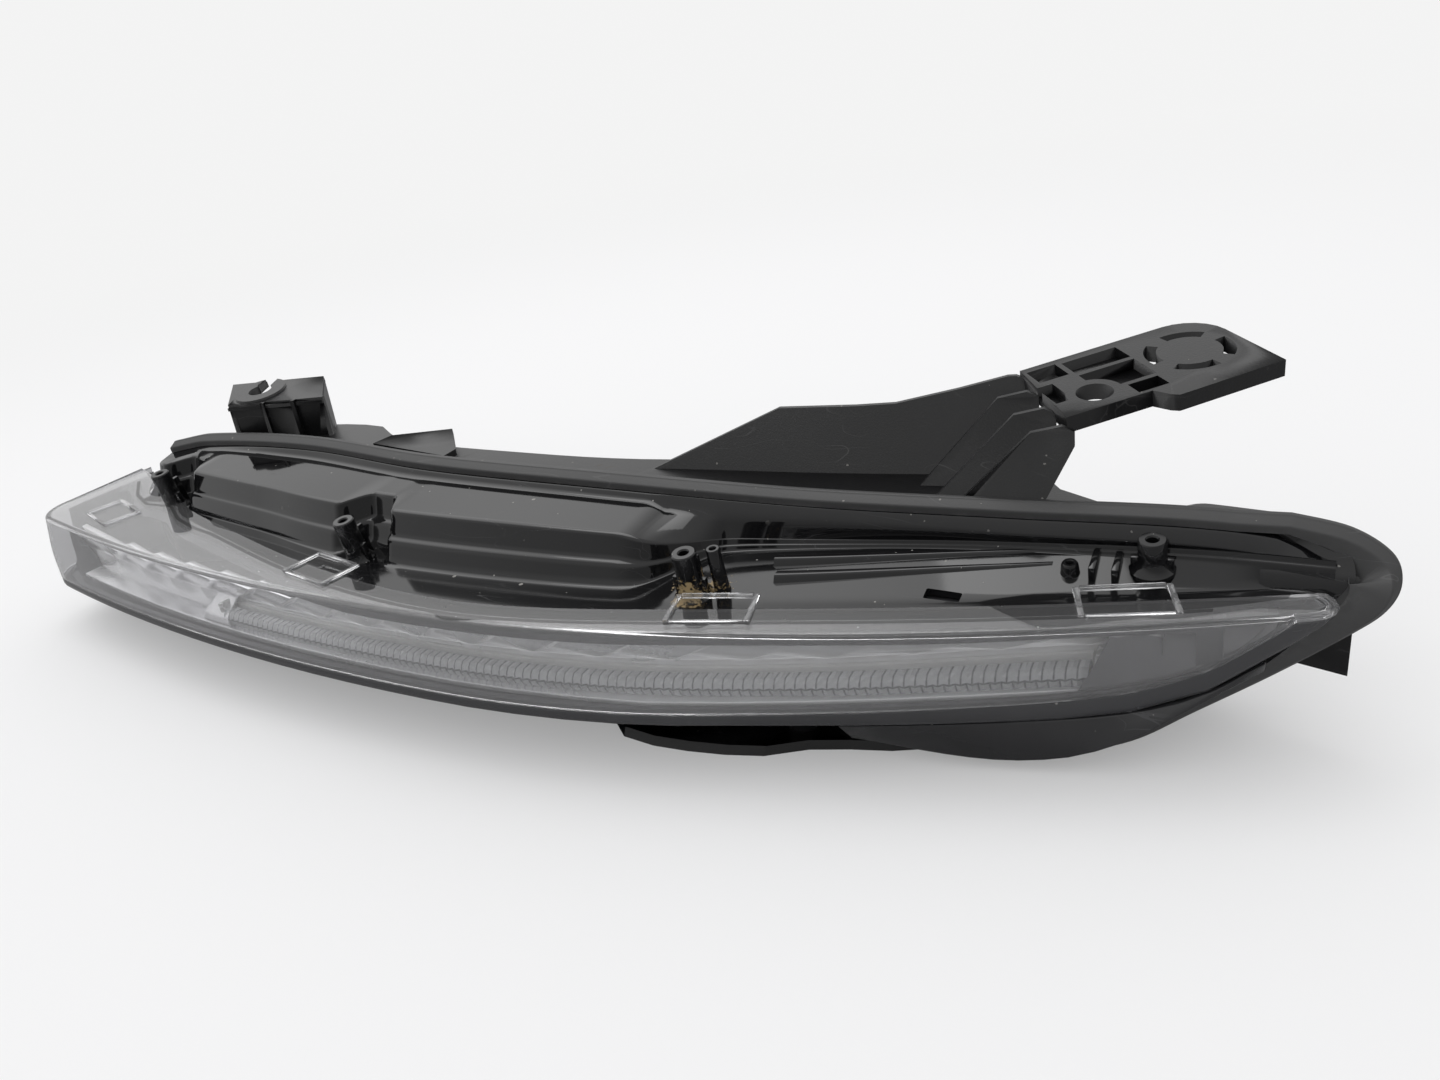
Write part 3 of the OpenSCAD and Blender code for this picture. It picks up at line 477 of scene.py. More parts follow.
def round_edges(obj: bpy.types.Object, width: float, segments: int = 2, angle: float = 35.0) -> None:
    """Round the sharp edges with a bevel that is applied.

    Args:
        obj: Mesh object.
        width: Width of the rounding in millimetres.
        segments: Faces across the rounding.
        angle: Smallest angle between faces, in degrees, that counts as an edge.
    """
    bevel = obj.modifiers.new("rounding", "BEVEL")
    bevel.width = width * MM
    bevel.segments = segments
    bevel.limit_method = "ANGLE"
    bevel.angle_limit = math.radians(angle)
    bevel.use_clamp_overlap = True
    bevel.harden_normals = False
    take(obj)
    bpy.ops.object.modifier_apply(modifier=bevel.name)


def shade(obj: bpy.types.Object, angle: float = 32.0) -> None:
    """Shade smooth below an angle in degrees.

    Args:
        obj: Mesh object.
        angle: Largest angle between faces that is shaded smooth.
    """
    take(obj)
    bpy.ops.object.shade_smooth_by_angle(angle=math.radians(angle))


def weld(name: str, parts: Sequence[bpy.types.Object]) -> bpy.types.Object:
    """Join parts into one piece.

    Args:
        name: Name of the piece.
        parts: Mesh objects, the first of which stays.

    Returns:
        The joined object.
    """
    clear_selection()
    for part in parts:
        part.select_set(True)
    bpy.context.view_layer.objects.active = parts[0]
    if len(parts) > 1:
        bpy.ops.object.join()
    parts[0].name = name
    parts[0].data.name = name
    return parts[0]


def copy_mesh(obj: bpy.types.Object, name: str) -> bpy.types.Object:
    """Copy a mesh object with a mesh of its own.

    Args:
        obj: Object whose mesh is copied.
        name: Name of the copy.

    Returns:
        The copy, in the scene.
    """
    twin = bpy.data.objects.new(name, obj.data.copy())
    bpy.context.scene.collection.objects.link(twin)
    return twin


def sweep(name: str, rings: Sequence[Sequence[Point]], caps: bool = True) -> bpy.types.Object:
    """Skin a row of closed rings from a grid that is wrapped round them.

    Args:
        name: Name of the new object.
        rings: Rings of equal count, as points in metres.
        caps: Whether both ends are closed.

    Returns:
        The closed mesh object.
    """
    m, n = len(rings[0]), len(rings)
    clear_selection()
    bpy.ops.mesh.primitive_grid_add(x_subdivisions=m, y_subdivisions=n - 1, size=1.0)
    obj = bpy.context.active_object
    obj.name = name
    points = np.array([list(ring) + [ring[0]] for ring in rings], dtype=np.float64).reshape(-1, 3)
    if len(obj.data.vertices) != len(points):
        raise ValueError(f"{name}: grid of {len(obj.data.vertices)} points for {len(points)}")
    obj.data.vertices.foreach_set("co", points.ravel())
    obj.data.update()
    settle(obj)
    if caps:
        for row in (0, n - 1):
            open_mesh(obj, "VERT")
            close_mesh()
            for i in range(m + 1):
                obj.data.vertices[row * (m + 1) + i].select = True
            bpy.ops.object.mode_set(mode="EDIT")
            bpy.ops.mesh.edge_face_add()
            close_mesh()
    face_outwards(obj, 1e-7)
    return obj


def rounded_outline(points: Sequence[tuple[float, float]], radii: Sequence[float],
                    steps: int = 4) -> list[tuple[float, float]]:
    """Round the inner corners of an open outline.

    Args:
        points: Corners of the outline.
        radii: Reach of the rounding at each corner but the first and last.
        steps: Pieces of each rounding.

    Returns:
        The rounded outline.
    """
    out = [points[0]]
    for i in range(1, len(points) - 1):
        p = np.array(points[i])
        back, ahead = np.array(points[i - 1]) - p, np.array(points[i + 1]) - p
        far_back, far_ahead = float(np.linalg.norm(back)), float(np.linalg.norm(ahead))
        reach = min(radii[i - 1], 0.45 * far_back, 0.45 * far_ahead)
        a, b = p + back / far_back * reach, p + ahead / far_ahead * reach
        for k in range(steps + 1):
            f = k / steps
            q = (1 - f) ** 2 * a + 2 * f * (1 - f) * p + f * f * b
            out.append((float(q[0]), float(q[1])))
    out.append(points[-1])
    return out


def leaning(place: Point, lean: float) -> Matrix:
    """Matrix that sets a shape, drawn in metres, on a place of the lamp and leans it forwards.

    Args:
        place: Place in the lamp's curves, in millimetres.
        lean: Lean about the lamp's length in degrees.

    Returns:
        The matrix.
    """
    return Matrix.Translation(Vector(to_frame(*place))) @ Matrix.Rotation(math.radians(lean), 4, "X")


def lathe(name: str, profile: Sequence[tuple[float, float]], place: Point, lean: float = 8.0,
          sides: int = 40) -> bpy.types.Object:
    """Turn a profile about an axis that leans forwards.

    Args:
        name: Name of the new object.
        profile: Pairs of radius and height in millimetres.
        place: Foot of the axis, in millimetres.
        lean: Lean of the axis in degrees.
        sides: Faces round the axis.

    Returns:
        The closed mesh object.
    """
    rings = [[(r * MM * math.cos(2 * math.pi * k / sides), r * MM * math.sin(2 * math.pi * k / sides),
               h * MM) for k in range(sides)] for r, h in profile]
    obj = sweep(name, rings)
    obj.data.transform(leaning(place, lean))
    return obj


def bar(name: str, low: Point, high: Point, place: Point, lean: float = 8.0, turn: float = 0.0,
        soft: float = 0.3) -> bpy.types.Object:
    """Model a small bar with rounded edges.

    Args:
        name: Name of the new object.
        low: Lowest corner from its place, in millimetres.
        high: Highest corner from its place, in millimetres.
        place: Place in the lamp's curves.
        lean: Lean about the lamp's length in degrees.
        turn: Turn about its upright in degrees.
        soft: Rounding of the edges in millimetres.

    Returns:
        The mesh object.
    """
    clear_selection()
    bpy.ops.mesh.primitive_cube_add(size=1.0)
    obj = bpy.context.active_object
    obj.name = name
    for corner in obj.data.vertices:
        corner.co = Vector([(a + (b - a) * (c + 0.5)) * MM for a, b, c in zip(low, high, corner.co)])
    obj.data.transform(leaning(place, lean) @ Matrix.Rotation(math.radians(turn), 4, "Z"))
    round_edges(obj, soft, 2)
    return obj


# Effects that several finishes share


class Bench:
    """Places and joins the nodes of one tree."""

    def __init__(self, tree: bpy.types.NodeTree) -> None:
        """Keep the tree that is worked on.

        Args:
            tree: Node tree of a material, a group or the world.
        """
        self.tree = tree

    def add(self, kind: str, **values: object) -> bpy.types.Node:
        """Add a node and set its sockets and settings.

        Args:
            kind: Blender's name for the node type.
            **values: Socket values by name with spaces as underscores, or settings of the node. A
                socket that is given another socket is linked to it.

        Returns:
            The new node.
        """
        node = self.tree.nodes.new(kind)
        for key, value in values.items():
            socket = node.inputs.get(key.replace("_", " "))
            if socket is None and key[0] == "i" and key[1:].isdigit():
                socket = node.inputs[int(key[1:])]
            if socket is None:
                setattr(node, key, value)
            elif isinstance(value, bpy.types.NodeSocket):
                self.tree.links.new(value, socket)
            else:
                socket.default_value = value
        return node

    def math(self, operation: str, a: object, b: object = 0.0, clamp: bool = False) -> bpy.types.NodeSocket:
        """Output of a Math node on two values or sockets.

        Args:
            operation: What the node works out.
            a: First value or socket.
            b: Second value or socket.
            clamp: Whether the result is held between 0 and 1.

        Returns:
            The output socket.
        """
        return self.add("ShaderNodeMath", operation=operation, i0=a, i1=b, use_clamp=clamp).outputs[0]

    def ramp(self, value: bpy.types.NodeSocket, low: float, high: float, to_low: float = 0.0,
             to_high: float = 1.0) -> bpy.types.NodeSocket:
        """Output of a smooth Map Range node.

        Args:
            value: Socket that is mapped.
            low: Value that gives to_low.
            high: Value that gives to_high.
            to_low: Result at low.
            to_high: Result at high.

        Returns:
            The output socket.
        """
        return self.add("ShaderNodeMapRange", interpolation_type="SMOOTHSTEP", Value=value, From_Min=low,
                        From_Max=high, To_Min=to_low, To_Max=to_high).outputs["Result"]

    def mix(self, share: object, a: object, b: object) -> bpy.types.NodeSocket:
        """Colour between a and b by a share.

        Args:
            share: Share of b, as a value or a socket.
            a: Colour at share 0.
            b: Colour at share 1.

        Returns:
            The colour socket.
        """
        node = self.tree.nodes.new("ShaderNodeMix")
        node.data_type = "RGBA"
        for index, value in ((0, share), (6, a), (7, b)):
            if isinstance(value, bpy.types.NodeSocket):
                self.tree.links.new(value, node.inputs[index])
            elif index:
                node.inputs[index].default_value = (*value, 1.0)
            else:
                node.inputs[index].default_value = value
        return node.outputs[2]

    def effect(self, tree: bpy.types.NodeTree, **values: float) -> bpy.types.NodeSocket:
        """Place a shared effect and return its only output.

        Args:
            tree: Group to place.
            **values: Values of its inputs by name.

        Returns:
            The output socket.
        """
        node = self.tree.nodes.new("ShaderNodeGroup")
        node.node_tree = tree
        for key, value in values.items():
            node.inputs[key].default_value = value
        return node.outputs[0]


class Effects:
    """Node groups that the finishes share, each built once."""

    def __init__(self) -> None:
        """Build every group."""
        self.dust = self._dust()
        self.scratches = self._scratches()
        self.grain = self._grain()
        self.smears = self._smears()
        self.rubbed = self._rubbed()
        self.upward = self._upward()
        self.patch = self._patch()

    @staticmethod
    def _group(name: str, inputs: dict[str, float],
               output: str) -> tuple[Bench, bpy.types.Node, bpy.types.Node]:
        """Start a group with float inputs and one float output.

        Args:
            name: Name of the group.
            inputs: Names of the inputs and their first values.
            output: Name of the output.

        Returns:
            The bench, the input node and the output node.
        """
        tree = bpy.data.node_groups.new(name, "ShaderNodeTree")
        for key, value in inputs.items():
            socket = tree.interface.new_socket(name=key, in_out="INPUT", socket_type="NodeSocketFloat")
            socket.default_value = value
        tree.interface.new_socket(name=output, in_out="OUTPUT", socket_type="NodeSocketFloat")
        return Bench(tree), tree.nodes.new("NodeGroupInput"), tree.nodes.new("NodeGroupOutput")

    def _dust(self) -> bpy.types.NodeTree:
        """Small scattered specks of several sizes.

        Returns:
            The group's node tree.
        """
        b, given, out = self._group("dust_specks", {"Scale": 160.0, "Amount": 0.3}, "Mask")
        place = b.add("ShaderNodeTexCoord").outputs["Object"]
        bent = b.add("ShaderNodeTexNoise", Vector=place, Scale=900.0, Detail=1.0)
        shifted = b.add("ShaderNodeVectorMath", operation="MULTIPLY_ADD", i0=bent.outputs["Color"],
                        i1=(0.0006, 0.0006, 0.0006), i2=place).outputs[0]
        cells = b.add("ShaderNodeTexVoronoi", feature="F1", Vector=shifted, Scale=given.outputs["Scale"])
        chance = b.add("ShaderNodeSeparateColor", Color=cells.outputs["Color"])
        size = b.math("MULTIPLY", chance.outputs["Red"], 0.11)
        dot = b.math("LESS_THAN", cells.outputs["Distance"], size)
        few = b.math("LESS_THAN", chance.outputs["Green"], given.outputs["Amount"])
        b.tree.links.new(b.math("MULTIPLY", dot, few), out.inputs[0])
        return b.tree

    def _scratches(self) -> bpy.types.NodeTree:
        """Fine hairline scratches in two directions, with gaps.

        Returns:
            The group's node tree.
        """
        b, given, out = self._group("hair_scratches", {"Scale": 60.0, "Amount": 0.5}, "Mask")
        place = b.add("ShaderNodeTexCoord").outputs["Object"]
        layers = []
        for turn in (0.5, -0.9):
            turned = b.add("ShaderNodeMapping", Vector=place, Rotation=(0.2, 0.3, turn),
                           Scale=(0.1, 1.0, 0.6))
            noise = b.add("ShaderNodeTexNoise", Vector=turned.outputs[0], Scale=given.outputs["Scale"],
                          Detail=2.0, Roughness=0.6)
            off = b.math("ABSOLUTE", b.math("SUBTRACT", noise.outputs["Fac"], 0.5))
            layers.append(b.math("LESS_THAN", off, 0.0022))
        lines = b.math("MAXIMUM", layers[0], layers[1])
        patch = b.add("ShaderNodeTexNoise", Vector=place, Scale=28.0, Detail=3.0)
        gaps = b.ramp(patch.outputs["Fac"], 0.5, 0.66)
        b.tree.links.new(b.math("MULTIPLY", b.math("MULTIPLY", lines, gaps), given.outputs["Amount"]),
                         out.inputs[0])
        return b.tree

    def _grain(self) -> bpy.types.NodeTree:
        """Fine eroded grain of a moulding tool.

        Returns:
            The group's node tree.
        """
        b, given, out = self._group("tool_grain", {"Scale": 1400.0}, "Height")
        place = b.add("ShaderNodeTexCoord").outputs["Object"]
        coarse = b.add("ShaderNodeTexVoronoi", feature="SMOOTH_F1", Vector=place,
                       Scale=given.outputs["Scale"])
        fine = b.add("ShaderNodeTexNoise", Vector=place, Scale=3200.0, Detail=2.0)
        b.tree.links.new(b.math("ADD", b.math("MULTIPLY", coarse.outputs["Distance"], 0.8),
                                b.math("MULTIPLY", fine.outputs["Fac"], 0.5)), out.inputs[0])
        return b.tree

    def _smears(self) -> bpy.types.NodeTree:
        """Broad uneven film, as wiping leaves it.

        Returns:
            The group's node tree.
        """
        b, given, out = self._group("wiped_film", {"Scale": 18.0}, "Mask")
        place = b.add("ShaderNodeTexCoord").outputs["Object"]
        drawn = b.add("ShaderNodeMapping", Vector=place, Rotation=(0.0, 0.0, 0.3), Scale=(0.5, 1.6, 1.0))
        noise = b.add("ShaderNodeTexNoise", Vector=drawn.outputs[0], Scale=given.outputs["Scale"], Detail=5.0,
                      Roughness=0.62, Distortion=0.6)
        b.tree.links.new(b.ramp(noise.outputs["Fac"], 0.36, 0.72), out.inputs[0])
        return b.tree

    def _rubbed(self) -> bpy.types.NodeTree:
        """Outer edges that handling has rubbed.

        Returns:
            The group's node tree.
        """
        b, given, out = self._group("rubbed_edges", {"Amount": 0.5}, "Mask")
        place = b.add("ShaderNodeTexCoord").outputs["Object"]
        edge = b.ramp(b.add("ShaderNodeNewGeometry").outputs["Pointiness"], 0.53, 0.62)
        noise = b.add("ShaderNodeTexNoise", Vector=place, Scale=95.0, Detail=5.0, Roughness=0.7)
        broken = b.ramp(noise.outputs["Fac"], 0.46, 0.62)
        b.tree.links.new(b.math("MULTIPLY", b.math("MULTIPLY", edge, broken), given.outputs["Amount"]),
                         out.inputs[0])
        return b.tree

    def _patch(self) -> bpy.types.NodeTree:
        """A broken patch round one place, such as residue or a scuff.

        Returns:
            The group's node tree.
        """
        b, given, out = self._group("broken_patch", {"X": 0.0, "Y": 0.0, "Z": 0.0, "Reach": 0.01,
                                                     "Scale": 400.0, "Fill": 0.5}, "Mask")
        place = b.add("ShaderNodeTexCoord").outputs["Object"]
        middle = b.add("ShaderNodeCombineXYZ", X=given.outputs["X"], Y=given.outputs["Y"],
                       Z=given.outputs["Z"]).outputs[0]
        far = b.add("ShaderNodeVectorMath", operation="DISTANCE", i0=place, i1=middle).outputs["Value"]
        near = b.math("SUBTRACT", 1.0, b.math("DIVIDE", far, given.outputs["Reach"]), clamp=True)
        noise = b.add("ShaderNodeTexNoise", Vector=place, Scale=given.outputs["Scale"], Detail=4.0,
                      Roughness=0.65)
        shown = b.math("ADD", b.math("MULTIPLY", near, given.outputs["Fill"]), noise.outputs["Fac"])
        b.tree.links.new(b.math("MULTIPLY", b.ramp(shown, 0.62, 0.74), b.ramp(near, 0.0, 0.25)),
                         out.inputs[0])
        return b.tree

    def _upward(self) -> bpy.types.NodeTree:
        """Surfaces that face up, where dust settles.

        Returns:
            The group's node tree.
        """
        b, given, out = self._group("facing_up", {"From": 0.3}, "Mask")
        normal = b.add("ShaderNodeNewGeometry").outputs["Normal"]
        height = b.add("ShaderNodeSeparateXYZ", Vector=normal).outputs["Z"]
        b.tree.links.new(b.add("ShaderNodeMapRange", Value=height, From_Min=given.outputs["From"],
                               From_Max=0.95).outputs["Result"], out.inputs[0])
        return b.tree


EFFECTS = Effects()


# Finishes


@dataclass(frozen=True)
class Patch:
    """Where a surface is stained or scuffed, in the lamp's millimetres."""

    place: Point
    reach: float
    colour: Colour
    scale: float = 400.0
    fill: float = 0.5


@dataclass(frozen=True)
class Finish:
    """Common ground of the finishes: a named material with one Principled shader."""

    name: str
    colour: Colour

    def start(self) -> tuple[bpy.types.Material, Bench, bpy.types.Node, bpy.types.Node]:
        """Make an empty material.

        Returns:
            The material, its bench, its Principled node and its output node.
        """
        material = bpy.data.materials.new(self.name)
        material.use_nodes = True
        material.node_tree.nodes.clear()
        bench = Bench(material.node_tree)
        shader = bench.add("ShaderNodeBsdfPrincipled")
        out = bench.add("ShaderNodeOutputMaterial")
        bench.tree.links.new(shader.outputs[0], out.inputs[0])
        material.diffuse_color = (*self.colour, 1.0)
        return material, bench, shader, out

    def patched(self, b: Bench, tone: bpy.types.NodeSocket, rough: bpy.types.NodeSocket,
                patches: Sequence[Patch]) -> tuple[bpy.types.NodeSocket, bpy.types.NodeSocket]:
        """Lay the patches over a colour and a roughness.

        Args:
            b: Bench of the material.
            tone: Colour so far.
            rough: Roughness so far.
            patches: What is laid over them.

        Returns:
            The new colour and roughness.
        """
        for patch in patches:
            x, y, z = to_frame(*patch.place)
            mask = b.effect(EFFECTS.patch, X=x, Y=y, Z=z, Reach=patch.reach * MM, Scale=patch.scale,
                            Fill=patch.fill)
            tone = b.mix(mask, tone, patch.colour)
            rough = b.math("ADD", rough, b.math("MULTIPLY", mask, 0.45), clamp=True)
        return tone, rough

    def make(self) -> bpy.types.Material:
        """Build the material.

        Returns:
            The material.
        """
        return self.start()[0]


@dataclass(frozen=True)
class MouldedPlastic(Finish):
    """Opaque moulded plastic or rubber with tool grain, dust, film and rubbed edges."""

    rough: float = 0.5
    rough_spread: float = 0.1
    grain: float = 0.25
    grain_scale: float = 1400.0
    dust: float = 0.25
    dust_colour: Colour = (0.32, 0.31, 0.29)
    worn: float = 0.35
    worn_colour: Colour = (0.16, 0.16, 0.16)
    scratches: float = 0.3
    coat: float = 0.0
    coat_rough: float = 0.05
    specular: float = 0.5
    metallic: float = 0.0
    film: float = 0.25
    patches: tuple[Patch, ...] = ()

    def make(self) -> bpy.types.Material:
        """Build the material.

        Returns:
            The material.
        """
        material, b, shader, _ = self.start()
        film = b.effect(EFFECTS.smears, Scale=14.0)
        up = b.effect(EFFECTS.upward, From=0.35)
        specks = b.math("MULTIPLY", b.effect(EFFECTS.dust, Scale=210.0, Amount=self.dust), up)
        lines = b.effect(EFFECTS.scratches, Scale=70.0, Amount=self.scratches)
        edge = b.effect(EFFECTS.rubbed, Amount=self.worn)
        lighter = tuple(min(1.0, c * (1 + self.film) + 0.01 * self.film) for c in self.colour)
        tone = b.mix(film, self.colour, lighter)
        tone = b.mix(b.math("MAXIMUM", edge, b.math("MULTIPLY", lines, 0.6)), tone, self.worn_colour)
        tone = b.mix(b.math("MULTIPLY", specks, 0.75), tone, self.dust_colour)
        rough = b.math("ADD", b.math("MULTIPLY", film, self.rough_spread), self.rough)
        rough = b.math("ADD", rough, b.math("MULTIPLY", specks, 0.4), clamp=True)
        tone, rough = self.patched(b, tone, rough, self.patches)
        b.tree.links.new(tone, shader.inputs["Base Color"])
        b.tree.links.new(rough, shader.inputs["Roughness"])
        shader.inputs["Specular IOR Level"].default_value = self.specular
        shader.inputs["Metallic"].default_value = self.metallic
        shader.inputs["Coat Weight"].default_value = self.coat
        shader.inputs["Coat Roughness"].default_value = self.coat_rough
        height = b.effect(EFFECTS.grain, Scale=self.grain_scale)
        height = b.math("SUBTRACT", height, b.math("MULTIPLY", lines, 0.8))
        bump = b.add("ShaderNodeBump", Strength=self.grain, Distance=0.0002, Height=height)
        b.tree.links.new(bump.outputs[0], shader.inputs["Normal"])
        return material


@dataclass(frozen=True)
class GlossPlastic(Finish):
    """Piano-black plastic: a deep gloss with dust, hairlines, film and a trace of waviness."""

    rough: float = 0.045
    film: float = 0.06
    dust: float = 0.35
    scratches: float = 0.5
    wave: float = 0.05
    patches: tuple[Patch, ...] = ()

    def make(self) -> bpy.types.Material:
        """Build the material.

        Returns:
            The material.
        """
        material, b, shader, _ = self.start()
        place = b.add("ShaderNodeTexCoord").outputs["Object"]
        film = b.effect(EFFECTS.smears, Scale=11.0)
        up = b.effect(EFFECTS.upward, From=0.2)
        small = b.effect(EFFECTS.dust, Scale=240.0, Amount=self.dust)
        large = b.effect(EFFECTS.dust, Scale=95.0, Amount=self.dust * 0.35)
        specks = b.math("MULTIPLY", b.math("MAXIMUM", small, large), up)
        lines = b.effect(EFFECTS.scratches, Scale=95.0, Amount=self.scratches)
        tone = b.mix(b.math("MULTIPLY", film, 0.5), self.colour, tuple(c * 1.6 + 0.004 for c in self.colour))
        tone = b.mix(b.math("MULTIPLY", specks, 0.7), tone, (0.36, 0.35, 0.33))
        tone = b.mix(b.math("MULTIPLY", lines, 0.25), tone, (0.20, 0.20, 0.21))
        rough = b.math("ADD", b.math("MULTIPLY", film, self.film), self.rough)
        rough = b.math("ADD", rough, b.math("MULTIPLY", lines, 0.25))
        rough = b.math("ADD", rough, b.math("MULTIPLY", specks, 0.5), clamp=True)
        tone, rough = self.patched(b, tone, rough, self.patches)
        b.tree.links.new(tone, shader.inputs["Base Color"])
        b.tree.links.new(rough, shader.inputs["Roughness"])
        wave = b.add("ShaderNodeTexNoise", Vector=place, Scale=42.0, Detail=1.0)
        bump = b.add("ShaderNodeBump", Strength=self.wave, Distance=0.0006, Height=wave.outputs["Fac"])
        b.tree.links.new(bump.outputs[0], shader.inputs["Normal"])
        return material


@dataclass(frozen=True)
class ClearPlastic(Finish):
    """Clear plastic that lets light through to what lies behind it."""

    rough: float = 0.012
    film: float = 0.05
    scratches: float = 0.6
    transmission: float = 1.0
    ior: float = 1.5

    def make(self) -> bpy.types.Material:
        """Build the material.

        Returns:
            The material.
        """
        material, b, shader, out = self.start()
        film = b.effect(EFFECTS.smears, Scale=16.0)
        up = b.effect(EFFECTS.upward, From=0.2)
        specks = b.math("MULTIPLY", b.effect(EFFECTS.dust, Scale=230.0, Amount=0.3), up)
        lines = b.effect(EFFECTS.scratches, Scale=80.0, Amount=self.scratches)
        tone = b.mix(b.math("MULTIPLY", film, 0.5), self.colour, tuple(c * 0.93 for c in self.colour))
        b.tree.links.new(tone, shader.inputs["Base Color"])
        rough = b.math("ADD", b.math("MULTIPLY", film, self.film), self.rough)
        rough = b.math("ADD", rough, b.math("MULTIPLY", lines, 0.15))
        rough = b.math("ADD", rough, b.math("MULTIPLY", specks, 0.4), clamp=True)
        b.tree.links.new(rough, shader.inputs["Roughness"])
        shader.inputs["Transmission Weight"].default_value = self.transmission
        shader.inputs["IOR"].default_value = self.ior
        bump = b.add("ShaderNodeBump", Strength=0.15, Distance=0.0001, Height=lines)
        b.tree.links.new(bump.outputs[0], shader.inputs["Normal"])
        clear = b.add("ShaderNodeBsdfTransparent", Color=(*(0.5 + 0.5 * c for c in self.colour), 1.0))
        ray = b.add("ShaderNodeLightPath")
        either = b.add("ShaderNodeMixShader", i0=ray.outputs["Is Shadow Ray"], i1=shader.outputs[0],
                       i2=clear.outputs[0])
        b.tree.links.new(either.outputs[0], out.inputs[0])
        return material


@dataclass(frozen=True)
class ToothedClear(ClearPlastic):
    """Clear rod whose two rows of prism teeth catch the light, with painted shade at the root of each tooth
    and along the line between the rows.
    """

    first_x: float = -135.138
    pitch: float = 3.4146
    middle: float = 34.0
    # Reach of the painted shade on each side of a tooth's root, as a share of the pitch
    root: float = 0.16

    def make(self) -> bpy.types.Material:
        """Build the material.

        Returns:
            The material.
        """
        material = super().make()
        b = Bench(material.node_tree)
        shader = next(n for n in material.node_tree.nodes if n.type == "BSDF_PRINCIPLED")
        place = b.add("ShaderNodeSeparateXYZ", Vector=b.add("ShaderNodeTexCoord").outputs["Object"])
        along = b.math("DIVIDE", b.math("SUBTRACT", place.outputs["X"], self.first_x * MM), self.pitch * MM)
        lower = b.math("LESS_THAN", place.outputs["Z"], self.middle * MM)
        tooth = b.math("FRACT", b.math("ADD", along, b.math("MULTIPLY", lower, 0.5)))
        off = b.math("ABSOLUTE", b.math("SUBTRACT", tooth, 0.5))
        # Painted shade: the colour darkens at each tooth's root and along the line between the two rows
        root = b.ramp(off, 0.5 - self.root, 0.5)
        row = b.math("ABSOLUTE", b.math("SUBTRACT", place.outputs["Z"], self.middle * MM))
        between = b.ramp(row, 0.0001, 0.0006, 1.0, 0.0)
        mask = b.math("MAXIMUM", root, between)
        tone = b.mix(mask, self.colour, (0.16, 0.165, 0.17))
        b.tree.links.new(tone, shader.inputs["Base Color"])
        height = b.math("SUBTRACT", 1.0, b.math("MULTIPLY", off, 2.0))
        bump = b.add("ShaderNodeBump", Strength=0.9, Distance=0.0008, Height=height)
        b.tree.links.new(bump.outputs[0], shader.inputs["Normal"])
        return material


@dataclass(frozen=True)
class BareMetal(Finish):
    """Metal with a drawn or rolled surface."""

    rough: float = 0.3
    grain_scale: float = 500.0

    def make(self) -> bpy.types.Material:
        """Build the material.

        Returns:
            The material.
        """
        material, b, shader, _ = self.start()
        place = b.add("ShaderNodeTexCoord").outputs["Object"]
        drawn = b.add("ShaderNodeMapping", Vector=place, Scale=(1.0, 1.0, 0.05))
        grain = b.add("ShaderNodeTexNoise", Vector=drawn.outputs[0], Scale=self.grain_scale, Detail=4.0)
        film = b.effect(EFFECTS.smears, Scale=30.0)
        tone = b.mix(film, self.colour, tuple(c * 0.8 for c in self.colour))
        b.tree.links.new(tone, shader.inputs["Base Color"])
        shader.inputs["Metallic"].default_value = 1.0
        rough = b.math("ADD", b.math("MULTIPLY", grain.outputs["Fac"], 0.2), self.rough)
        b.tree.links.new(rough, shader.inputs["Roughness"])
        bump = b.add("ShaderNodeBump", Strength=0.2, Distance=0.0001, Height=grain.outputs["Fac"])
        b.tree.links.new(bump.outputs[0], shader.inputs["Normal"])
        return material


@dataclass(frozen=True)
class BoardFinish(Finish):
    """Solder mask over copper tracks."""

    def make(self) -> bpy.types.Material:
        """Build the material.

        Returns:
            The material.
        """
        material, b, shader, _ = self.start()
        place = b.add("ShaderNodeTexCoord").outputs["Object"]
        turned = b.add("ShaderNodeMapping", Vector=place, Rotation=(0.0, 0.0, 0.1))
        tracks = b.add("ShaderNodeTexVoronoi", feature="DISTANCE_TO_EDGE", Vector=turned.outputs[0],
                       Scale=260.0)
        line = b.ramp(tracks.outputs["Distance"], 0.06, 0.1, 1.0, 0.0)
        tone = b.mix(line, self.colour, tuple(min(1.0, c * 1.9 + 0.02) for c in self.colour))
        b.tree.links.new(tone, shader.inputs["Base Color"])
        rough = b.math("ADD", b.math("MULTIPLY", line, 0.15), 0.28)
        b.tree.links.new(rough, shader.inputs["Roughness"])
        bump = b.add("ShaderNodeBump", Strength=0.4, Distance=0.0002, Height=line)
        b.tree.links.new(bump.outputs[0], shader.inputs["Normal"])
        return material


